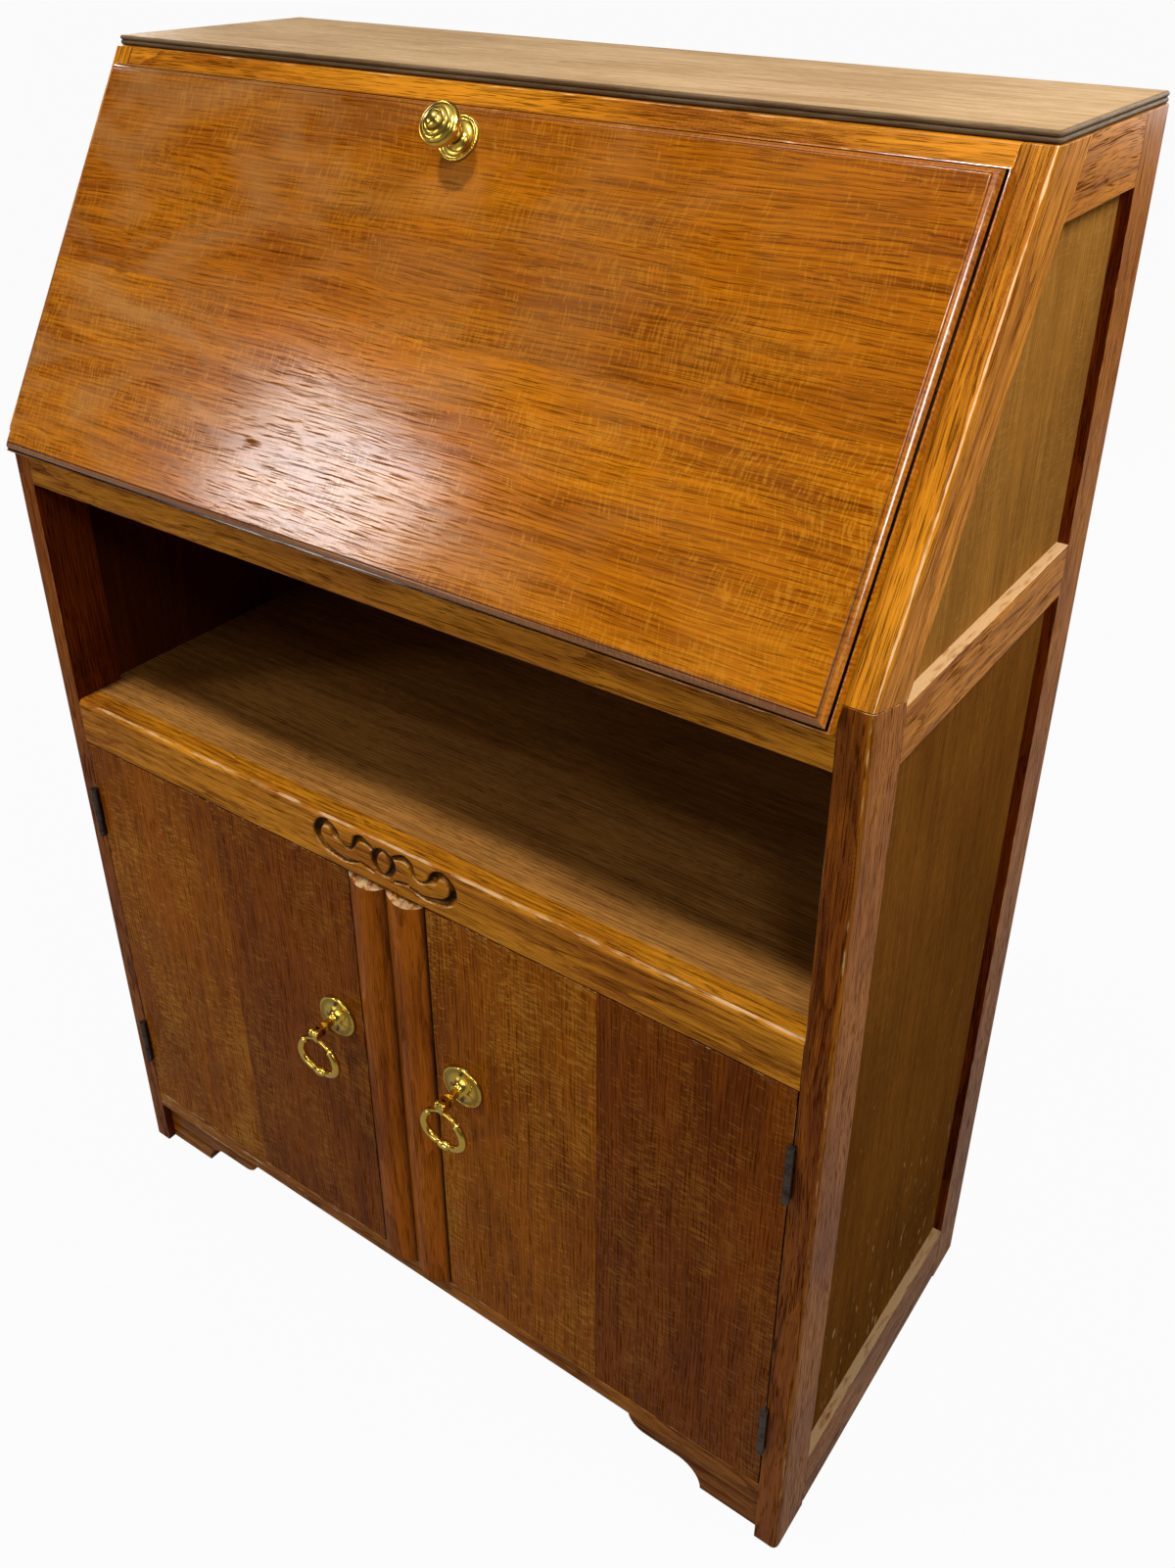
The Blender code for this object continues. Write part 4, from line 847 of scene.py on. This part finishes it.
half_wide = reach("fall_panel", ACROSS)[1]
foot, head = reach("fall_panel", slope_up)
inner, outer = reach("fall_panel", slope_out)
fall_thick = outer - inner
lip_wide, lip_thick, lip_soft = 0.0014, 0.0075, 0.0004
groove_wide, groove_floor, groove_draft = 0.0010, 0.0060, 0.0001
ovolo_in = lip_wide + groove_wide
ovolo_wide, ovolo_rise = 0.0042, 0.0046
ovolo_end = ovolo_in + ovolo_wide
# The middle of the ovolo gets a painted highlight, and its whole width a little painted shade.
flatness, ovolo_highlight_band, ovolo_highlight, ovolo_shade = 0.6, (0.25, 0.55), 0.4, 0.1
quirk_deep, quirk_floor, quirk_lip = 0.0010, 1.6, 0.0003
quirk_in, quirk_out, quirk_end = 0.0003, 0.0007, 0.0012
lip_back, ovolo_under = 0.0003, 0.0006
ovolo_foot = fall_thick - quirk_deep - ovolo_rise
# Round the edge from the back to the face: inset, level, wear, grime and filled. The groove is painted
# black as shade, the lip's edge and the quirk darker, and the ovolo a little.
profile = [
    (0.0, 0.0, 0.0, 0.0, 0.0),
    (0.0, lip_thick - lip_soft, 0.2, 0.0, 0.0),
    (lip_soft, lip_thick, 0.3, 0.0, 0.0),
    (lip_wide - lip_back, lip_thick, 0.3, 0.0, 0.0),
    (lip_wide, lip_thick - lip_soft, 0.0, 0.6, 0.0),
    (lip_wide + groove_draft, groove_floor, 0.0, 1.0, 0.0),
    (ovolo_in - groove_draft, groove_floor, 0.0, 1.0, 0.0),
    (ovolo_in, ovolo_foot - ovolo_under, 0.0, 1.0, 0.0),
]
sweep = arc((ovolo_end, ovolo_foot), (ovolo_wide, ovolo_rise), 180, 90, 10)
for step, (inset, level) in enumerate(sweep):
    share = step / (len(sweep) - 1)
    chord = (ovolo_in + share * ovolo_wide, ovolo_foot + share * ovolo_rise)
    inset += flatness * (chord[0] - inset)
    level += flatness * (chord[1] - level)
    wear = ovolo_highlight if ovolo_highlight_band[0] < share < ovolo_highlight_band[1] else 0.0
    profile.append((inset, level, wear, ovolo_shade, 1.0))
profile += [
    (ovolo_end + quirk_in, fall_thick - quirk_floor * quirk_deep, 0.0, 0.4, 1.0),
    (ovolo_end + quirk_out, fall_thick - quirk_lip, 0.0, 0.15, 1.0),
    (ovolo_end + quirk_end, fall_thick, 0.0, 0.0, 0.0),
]
# A painted highlight along the lip and ovolo, brightest at the upper right, by corner: lower left, lower
# right, upper right, upper left.
corner_highlight = (0.3, 0.4, 1.0, 0.6)
rings = []
for inset, level, wear, grime, filled in profile:
    x, low, high = half_wide - inset, foot + inset, head - inset
    corners = [(-x, low), (x, low), (x, high), (-x, high)]
    rings.append([ACROSS * a + slope_up * b + slope_out * (inner + level) for a, b in corners])
fall = skin(rings)
mark(fall, "wear", [row[2] * share for row in profile for share in corner_highlight])
mark(fall, "grime", [row[3] for row in profile for point in rings[0]])
mark(fall, "filled", [row[4] for row in profile for point in rings[0]])


def slope_block(x_range, up_range, out_range):
    """A bmesh block that lies in the slope."""
    rings = []
    for x in x_range:
        ring = []
        for a, b in ((0, 0), (1, 0), (1, 1), (0, 1)):
            ring.append(ACROSS * x + slope_up * up_range[a] + slope_out * out_range[b])
        rings.append(ring)
    return skin(rings)


play, past = 0.0003, 0.01
leaf_room, knuckle_room = 0.0015 + play, 0.0035
axis_up = Vector(joints["fall_hinge"]["pos_m"]).dot(slope_up)
cutters = []
for hand, side in hands:
    leaf = f"{hand}_fall_hinge_moving_leaf"
    x_low, x_high = reach(leaf, ACROSS)
    x_range = (x_low - play, x_high + play)
    leaf_top = reach(leaf, slope_up)[1] + play
    for top, deep in ((leaf_top, leaf_room), (axis_up + knuckle_room, knuckle_room)):
        cutters.append(slope_block(x_range, (foot - past, top), (inner - past, inner + deep)))
fall = notched(fall, cutters)
bloom_left, upper_tone = 0.6, 0.26
bloom = fall.verts.layers.float.new("bloom")
for vert in fall.verts:
    vert[bloom] = bloom_left * (half_wide - vert.co.x) / (2 * half_wide)
boards = (((foot + head) / 2, 0.0), (math.inf, upper_tone))
lay_grain(fall, "fall_panel", ACROSS, slope_out, "quarter", boards)
# Stained oak under many coats of shellac: deep orange brown, a hard gloss, and cloudy wipe marks.
fall_oak = oak(
    "french_polished_oak", "#b06502", "#824000", "#361500", "#ba7a18", 0.14,
    gloss=0.45, figure=0.5, contrast=0.6)
fit("fall_panel", fall, fall_oak)


# Knob.
# Turned and polished brass: ring mouldings round a small boss, a waisted neck, and a dished rose
# with a milled rim that a screw from behind pulls against the fall.
def turned(profile, seat, axis, sides, mill=0.0):
    """A bmesh turned about an axis from (radius, height) points, with its widest rim milled or plain.

    Polish and dirt stay in the narrow hollows of the profile.
    """
    rim_from, sides_each_nick = 0.94, 4
    hollow_least, most_dirt = 0.0002, 0.9
    around = axis.cross(ACROSS)
    widest = max(radius for radius, height in profile)
    rings = []
    for radius, height in profile:
        ring = []
        for index in range(sides):
            angle = 2 * math.pi * index / sides
            nick = mill * math.cos(sides * angle / sides_each_nick) if radius > rim_from * widest else 0.0
            spread = ACROSS * math.cos(angle) + around * math.sin(angle)
            ring.append(seat + axis * height + spread * (radius - mill + nick if nick else radius))
        rings.append(ring)
    bm = skin(rings)
    heights = [height for radius, height in profile]
    neighbours = zip(heights[:1] + heights, heights, heights[1:] + heights[-1:])
    hollows = [(before + after) / 2 - height for before, height, after in neighbours]
    dirt = [min(most_dirt, max(0.0, hollow - hollow_least) / hollow_least) for hollow in hollows]
    mark(bm, "grime", [amount for amount in dirt for index in range(sides)])
    return bm


# Turned brass, buffed and handled: a yellow mirror, brown where dirt stays in the hollows.
polished_brass = metal("polished_brass", "#e6c052", "#4a3410", 0.17, 9.0, 0.12)
rose_up = sum(reach("knob_rose", slope_up)) / 2
rose_level = reach("knob_rose", slope_out)[0]
seat = slope_up * rose_up + slope_out * rose_level
rose_profile = [
    (0.0002, 0.0), (0.0158, 0.0), (0.0158, 0.0013), (0.0154, 0.0020), (0.0147, 0.0022),
    (0.0140, 0.0019), (0.0136, 0.0012), (0.0130, 0.0015), (0.0122, 0.0014), (0.0117, 0.0008),
    (0.0098, 0.0011), (0.0082, 0.0019), (0.0070, 0.0032), (0.0064, 0.0045), (0.0002, 0.0045),
]
fit("knob_rose", turned(rose_profile, seat, slope_out, 192, 0.0002), polished_brass)
knob_profile = [
    (0.0002, 0.0048), (0.0052, 0.0048), (0.0050, 0.0062), (0.0042, 0.0082), (0.0040, 0.0105),
    (0.0044, 0.0128), (0.0056, 0.0148), (0.0086, 0.0160), (0.0124, 0.0166), (0.0144, 0.0178),
    (0.0153, 0.0196), (0.0154, 0.0212), (0.0148, 0.0228), (0.0139, 0.0238), (0.0132, 0.0236),
    (0.0127, 0.0246), (0.0116, 0.0258), (0.0104, 0.0264), (0.0096, 0.0261), (0.0091, 0.0268),
    (0.0082, 0.0277), (0.0072, 0.0280), (0.0065, 0.0276), (0.0060, 0.0284), (0.0055, 0.0299),
    (0.0043, 0.0311), (0.0024, 0.0317), (0.0002, 0.0318),
]
fit("fall_knob", turned(knob_profile, seat, slope_out, 96), polished_brass)


# Hinges.
# Pressed steel butts: two on each door with the knuckle proud of the face, and two small ones that
# carry the fall. The leaves are let in and held by slotted countersunk screws.
screws = {"carcass": [], "fall": [], "left_door": [], "right_door": []}
screw_sizes, screw_proud = (0.0027, 0.0005, 0.0006), 0.00012
screw_back = screw_sizes[1] / 2 - screw_proud
leaf_ease, leaf_margin, leaf_gap, leaf_sunk = 0.0002, 0.22, 0.00015, 0.0003
door_screw_in, fall_screw_in = 0.008, 0.007
for hand, side in hands:
    for tier in ("lower", "upper"):
        for leaf, way in (("fixed", -side), ("moving", side)):
            name = f"{hand}_door_{tier}_hinge_{leaf}_leaf"
            body = frame["nodes"][name]["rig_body"]
            fit(name, planed(name, leaf_ease), browned_steel)
            low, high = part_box(name)
            facing = ACROSS * way
            face_x = joints[f"{hand}_door_hinge"]["pos_m"][0] - way * leaf_gap
            for share in (leaf_margin, 0.5, 1 - leaf_margin):
                spot = Vector((face_x, high.y - door_screw_in, low.z + share * (high.z - low.z)))
                screws[body].append((spot - facing * screw_back, facing))
    name = f"{hand}_fall_hinge_fixed_leaf"
    fit(name, planed(name, leaf_ease), browned_steel)
    low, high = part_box(name)
    leaf_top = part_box("fall_rail")[1].z - leaf_sunk
    for share in (leaf_margin, 1 - leaf_margin):
        spot = Vector((low.x + share * (high.x - low.x), high.y - fall_screw_in, leaf_top))
        screws["carcass"].append((spot - UP * screw_back, UP))
    name = f"{hand}_fall_hinge_moving_leaf"
    fit(name, planed(name, leaf_ease), browned_steel)
    x_low, x_high = reach(name, ACROSS)
    for share in (leaf_margin, 1 - leaf_margin):
        spot = ACROSS * (x_low + share * (x_high - x_low))
        spot += slope_up * (reach(name, slope_up)[1] - fall_screw_in)
        spot += slope_out * (inner + screw_back)
        screws["fall"].append((spot, -slope_out))


# Stays.
# Flat steel bars with a curved slot. Each turns on a bracket screwed to the fall and slides on a
# headed pin in the side, and holds the fall level when it is open.
stay_ease, bracket_thick, screw_aside = 0.0003, 0.002, 0.003
for hand, side in hands:
    for part in ("stay", "stay_bracket", "stay_guide"):
        name = f"{hand}_{part}"
        fit(name, planed(name, stay_ease), browned_steel)
    name = f"{hand}_stay_bracket"
    x_low, x_high = reach(name, ACROSS)
    up_low, up_high = reach(name, slope_up)
    for share in (0.25, 0.75):
        spot = ACROSS * ((x_low + x_high) / 2 - side * screw_aside)
        spot += slope_up * (up_low + share * (up_high - up_low))
        spot += slope_out * (inner - bracket_thick + screw_back)
        screws["fall"].append((spot, -slope_out))
for body, spots in screws.items():
    fasteners(f"{body}_screws", body, spots, screw_sizes, browned_steel)


# Doors.
# Flat boards faced with two leaves of upright oak veneer each, one darker than the other. They hang
# inset between stile and post, and their edges are painted dark as the shade in the gaps round them.
leaf_tones = {"left": (0.1, 0.5), "right": (0.1, 0.6)}
# Quarter-sawn veneer, stained and polished: red brown, crossed by pale fleck, with a low sheen.
door_oak = oak(
    "veneered_oak", "#9c5402", "#723801", "#381801", "#b07620", 0.28,
    figure=0.9, contrast=0.5)
for hand, tones in leaf_tones.items():
    name = f"{hand}_door"
    low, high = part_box(name)
    leaf = planed(name, arris)
    middle = (low.x + high.x) / 2
    boards = ((-middle, tones[1]), (math.inf, tones[0]))
    # Every edge of a door is painted dark as shade.
    edges = [(way, painted_shade_tone) for way in (ACROSS, -ACROSS, UP, -UP)]
    lay_grain(leaf, name, UP, OUT, "quarter", boards, edges)
    fit(name, leaf, door_oak)


# Pulls.
# Cast and polished brass: a round dished rose pinned to the door, a square stem that forks, and a
# stirrup ring that hangs in the fork, slim at its top and beaded at its bottom.
def bent_bar(name, line, radii, sides, finish):
    """A round bar bent along a closed line, as a mesh object. Its radius changes along the line.

    Dirt stays where the bar is thinner than it is a few steps before and after.
    """
    nick_steps, nick_least, most_dirt = 4, 0.02, 0.9
    tree = shape_tree(name, {"Line": "Geometry", "Sides": "Int", "Finish": "Material"})
    add = partial(wire, tree)
    given = add("NodeGroupInput").outputs
    path = add("GeometryNodeMeshToCurve", {"Mesh": given["Line"]}).outputs[0]
    section = add("GeometryNodeCurvePrimitiveCircle", {"Resolution": given["Sides"]}).outputs[0]
    radius = add("GeometryNodeInputNamedAttribute", {"Name": "radius_here"}, data_type="FLOAT").outputs[0]
    bar = {"Curve": path, "Profile Curve": section, "Scale": radius}
    bar = add("GeometryNodeCurveToMesh", bar).outputs[0]
    bar = add("GeometryNodeRealizeInstances", {"Geometry": bar}).outputs[0]
    bar = add("GeometryNodeSetMaterial", {"Geometry": bar, "Material": given["Finish"]}).outputs[0]
    add("NodeGroupOutput", {"Shape": bar})
    mesh = bpy.data.meshes.new(name)
    count = len(line)
    mesh.from_pydata(line, [(index, (index + 1) % count) for index in range(count)], [])
    mesh.attributes.new("radius_here", "FLOAT", "POINT").data.foreach_set("value", radii)
    before, after = radii[-nick_steps:] + radii, radii[nick_steps:] + radii[:nick_steps]
    nicks = [(one + other) / (2 * here) - 1 for one, here, other in zip(before, radii, after)]
    dirt = [most_dirt * min(1.0, nick) if nick > nick_least else 0.0 for nick in nicks]
    mesh.attributes.new("grime", "FLOAT", "POINT").data.foreach_set("value", dirt)
    piece = grown(name, mesh, tree, {"Sides": sides, "Finish": finish})
    piece.data.shade_smooth()
    return piece


rose_profile = [
    (0.0002, 0.0), (0.0200, 0.0), (0.0200, 0.0016), (0.0196, 0.0024), (0.0188, 0.0028),
    (0.0180, 0.0026), (0.0174, 0.0021), (0.0150, 0.0022), (0.0120, 0.0029), (0.0095, 0.0040),
    (0.0074, 0.0055), (0.0062, 0.0070), (0.0060, 0.0080), (0.0054, 0.0086), (0.0044, 0.0088),
    (0.0002, 0.0088),
]
# The stem, from the rose to the fork: how far out, half its width and half its height.
stem_sections = (
    (0.0070, 0.0036, 0.0034), (0.0092, 0.0031, 0.0030), (0.0150, 0.0028, 0.0028), (0.0172, 0.0033, 0.0031),
    (0.0186, 0.0043, 0.0037), (0.0214, 0.0045, 0.0041), (0.0228, 0.0045, 0.0040),
)
stem_soft = 0.0009
cheek_root, cheek_half, cheek_round, cheek_span, cheek_ease = 0.0205, 0.0041, 0.0042, (0.0023, 0.0045), 0.0004
eye_round, eye_foot, eye_half, eye_ease = 0.0036, 0.0017, 0.0020, 0.0003
ring_neck, ring_pinch, ring_steps, ring_sides = 0.0068, 0.28, 180, 24
half_turn = [step / 50 for step in range(157)]
widest = max(math.sin(turn) * (1 - ring_pinch * (1 + math.cos(turn)) / 2) for turn in half_turn)
top_radius, arm_radius, bead_radius = 0.0016, 0.0035, 0.0041
# How far down the ring its thin top, collar, arm and nick end, and how thick they are.
top_end, collar_end, arm_end, nick_end = 0.27, 0.31, 0.90, 0.925
collar_share, arm_share, nick_share, bead_share = 0.95, 0.84, 0.70, 0.78
pin_apart, pin_out, pull_pin_sizes = 0.0140, 0.0024, (0.0016, 0.0009, 0.0)
for hand, side in hands:
    rose, ring = f"{hand}_pull_rose", f"{hand}_pull_ring"
    door_body, ring_body = f"{hand}_door", f"{hand}_ring"
    low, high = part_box(rose)
    pivot = Vector(joints[f"{hand}_ring_pivot"]["pos_m"])
    seat = Vector((pivot.x, high.y, pivot.z))
    fit(rose, turned(rose_profile, seat, OUT, 96), polished_brass)

    stem = []
    for out, half_x, half_z in stem_sections:
        points = []
        for quarter, (to_x, to_z) in enumerate(((1, 1), (-1, 1), (-1, -1), (1, -1))):
            centre = (to_x * (half_x - stem_soft), to_z * (half_z - stem_soft))
            points += arc(centre, stem_soft, 90 * quarter, 90 * quarter + 90, 3)
        stem.append([(seat.x + x, seat.y - out, seat.z + z) for x, z in points])
    finished(f"{hand}_pull_stem", skin(stem), door_body, polished_brass)
    cheek = [(seat.y - cheek_root, pivot.z - cheek_half)]
    cheek += arc((pivot.y, pivot.z), cheek_round, 270, 90, 14)
    cheek += [(seat.y - cheek_root, pivot.z + cheek_half)]
    near, far = cheek_span
    for name, x_range in (("inner", (near, far)), ("outer", (-far, -near))):
        plate = prism(cheek, "X", pivot.x + x_range[0], pivot.x + x_range[1])
        plate = eased(plate, cheek_ease)
        finished(f"{hand}_pull_{name}_cheek", plate, door_body, polished_brass)

    low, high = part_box(ring)
    ring_wide = ((high.x - low.x) / 2 - arm_radius) / widest
    ring_long = pivot.z - low.z - bead_radius
    line, radii = [], []
    for index in range(ring_steps):
        turn = 2 * math.pi * index / ring_steps
        rise = (1 + math.cos(turn)) / 2
        x = ring_wide * math.sin(turn) * (1 - ring_pinch * rise)
        line.append((pivot.x + x, pivot.y, pivot.z - ring_neck - (ring_long - ring_neck) * (1 - rise)))
        down = 1 - abs(1 - index / (ring_steps / 2))
        if down < top_end:
            radii.append(top_radius)
        elif down < collar_end:
            radii.append(collar_share * arm_radius)
        elif down < arm_end:
            swell = math.sin(math.pi * (down - collar_end) / (arm_end - collar_end))
            radii.append(arm_radius * (arm_share + (1 - arm_share) * swell))
        elif down < nick_end:
            radii.append(nick_share * arm_radius)
        else:
            swell = math.sin(math.pi / 2 * (down - nick_end) / (1 - nick_end))
            radii.append(bead_radius * (bead_share + (1 - bead_share) * swell))
    bow = bent_bar(f"{hand}_pull_ring_bow", line, radii, ring_sides, polished_brass)
    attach(bow, ring_body)
    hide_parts(ring)
    eye_root = pivot.z - ring_neck - top_radius
    eye = arc((pivot.y, pivot.z), eye_round, -40, 220, 16)
    eye += [(pivot.y - eye_foot, eye_root), (pivot.y + eye_foot, eye_root)]
    block = eased(prism(eye, "X", pivot.x - eye_half, pivot.x + eye_half), eye_ease)
    finished(f"{hand}_pull_ring_eye", block, ring_body, polished_brass)
    pins = [((seat.x, seat.y - pin_out, seat.z + height), OUT) for height in (-pin_apart, pin_apart)]
    fasteners(f"{hand}_pull_pins", door_body, pins, pull_pin_sizes, browned_steel)


# Floor, light and camera.
# A pale paper floor, a small bright lamp and a dim panel overhead, softboxes in front, at both
# sides and behind, and the camera where the photograph was taken.
floor_far = 40.0
floor_white, floor_mirrored = 0.96, 0.15
floor_mesh = bpy.data.meshes.new("floor")
corners = [(-floor_far, -floor_far, 0), (floor_far, -floor_far, 0)]
corners += [(floor_far, floor_far, 0), (-floor_far, floor_far, 0)]
floor_mesh.from_pydata(corners, [], [(0, 1, 2, 3)])
floor = placed("floor", floor_mesh)
# Matt paper: white to the camera but for the object's shadow, and a little white in the brass.
pale_floor, tree, paper = new_material("matt_paper_floor")
floor_mesh.materials.append(pale_floor)
paper.inputs["Base Color"].default_value = linear("#767472")
paper.inputs["Roughness"].default_value = 0.9
paper.inputs["Specular IOR Level"].default_value = 0.2
add = partial(wire, tree)
path = add("ShaderNodeLightPath").outputs
seen = {0: path["Is Camera Ray"], 1: path["Is Transmission Ray"]}
seen = add("ShaderNodeMath", seen, operation="MAXIMUM").outputs[0]
white = add("ShaderNodeMath", {0: seen, 1: floor_white}, operation="MULTIPLY").outputs[0]
white = {0: path["Is Glossy Ray"], 1: floor_mirrored, 2: white}
white = add("ShaderNodeMath", white, operation="MULTIPLY_ADD").outputs[0]
glow = add("ShaderNodeEmission", {"Color": linear("#ffffff"), "Strength": 1.0}).outputs[0]
lit = add("ShaderNodeMixShader", {0: white, 1: paper.outputs[0], 2: glow}).outputs[0]
tree.links.new(lit, tree.nodes["Material Output"].inputs["Surface"])

# A dim room that is white to the camera, and pale overhead in what mirrors it.
room_light, mirrored_walls, mirrored_ceiling = 0.035, 0.05, 0.6
ceiling_from, ceiling_to = 0.7, 0.95
world = bpy.data.worlds.new("studio")
bpy.context.scene.world = world
world.use_nodes = True
sky = world.node_tree.nodes["Background"]
sky.inputs["Color"].default_value = linear("#ffffff")
add = partial(wire, world.node_tree)
sky_path = add("ShaderNodeLightPath").outputs
way_up = add("ShaderNodeTexCoord").outputs["Generated"]
way_up = add("ShaderNodeSeparateXYZ", {0: way_up}).outputs[2]
overhead = {0: way_up, 1: ceiling_from, 2: ceiling_to, 3: mirrored_walls, 4: mirrored_ceiling}
overhead = add("ShaderNodeMapRange", overhead).outputs[0]
mirrored = {0: sky_path["Is Glossy Ray"], 1: overhead, 2: room_light}
mirrored = add("ShaderNodeMath", mirrored, operation="MULTIPLY_ADD").outputs[0]
seen = {0: sky_path["Is Camera Ray"], 1: mirrored}
seen = add("ShaderNodeMath", seen, operation="MAXIMUM").outputs[0]
world.node_tree.links.new(seen, sky.inputs["Strength"])

# Each lamp: its name, where it stands, what it lights, its width and height, and its power in watts.
for name, spot, aim, wide, high, power in (
    ("overhead_lamp", (-0.55, -1.05, 3.9), (0, -0.1, 0.6), 0.3, 0.3, 80.0),
    ("left_softbox", (-1.5, -1.54, 1.65), (0, -0.15, 0.7), 0.38, 0.38, 7.6),
    ("right_softbox", (1.13, -1.1, 1.93), (0.2, -0.1, 0.8), 0.3, 0.3, 5.0),
    ("side_softbox", (1.2, 0.05, 2.1), (0.3, 0, 0.9), 0.5, 0.5, 27.0),
    ("edge_softbox", (1.62, -0.4, 1.4), (0.36, -0.12, 0.9), 0.2, 0.6, 6.0),
    ("low_softbox", (-0.3, -2.4, 0.75), (0, 0, 0.6), 1.0, 1.0, 10.4),
    ("low_left_card", (-1.05, -1.5, 0.3), (0, -0.2, 0.42), 0.4, 0.5, 0.8),
    ("back_softbox", (0.5, 2.7, 1.2), (0, 0.2, 0.5), 1.0, 1.0, 24.0),
    ("far_side_softbox", (-2.4, 1.0, 1.3), (-0.38, 0.1, 0.5), 1.0, 1.0, 22.0),
    ("ceiling_panel", (0.0, -0.3, 3.2), (0, -0.3, 0), 2.4, 2.4, 3.0),
):
    lamp_data = bpy.data.lights.new(name, "AREA")
    lamp_data.shape = "RECTANGLE"
    lamp_data.size = wide
    lamp_data.size_y = high
    lamp_data.energy = power
    lamp = placed(name, lamp_data)
    lamp.location = spot
    lamp.rotation_euler = (Vector(aim) - Vector(spot)).to_track_quat("-Z", "Y").to_euler()

camera_data = bpy.data.cameras.new("camera")
camera = placed("camera", camera_data)
bpy.context.scene.camera = camera
yaw, pitch, roll = math.radians(-34.63), math.radians(29.72), math.radians(-0.51)
ahead = Vector((math.sin(yaw) * math.cos(pitch), math.cos(yaw) * math.cos(pitch), -math.sin(pitch)))
level_right = Vector((math.cos(yaw), -math.sin(yaw), 0))
level_down = ahead.cross(level_right)
right = math.cos(roll) * level_right + math.sin(roll) * level_down
down = math.cos(roll) * level_down - math.sin(roll) * level_right
turn = Matrix((right, -down, -ahead)).transposed().to_4x4()
camera_at = (0.6301, -0.7749, 1.1921)
camera.matrix_world = Matrix.Translation(camera_at) @ turn
photo_wide, photo_high = 1200, 1601
focal_px, centre_px = 1440.7, (621.6, 685.9)
camera_data.sensor_width = 36.0
camera_data.lens = camera_data.sensor_width * focal_px / photo_high
camera_data.shift_x = (photo_wide / 2 - centre_px[0]) / photo_high
camera_data.shift_y = (centre_px[1] - photo_high / 2) / photo_high
bpy.context.scene.view_settings.view_transform = "Standard"
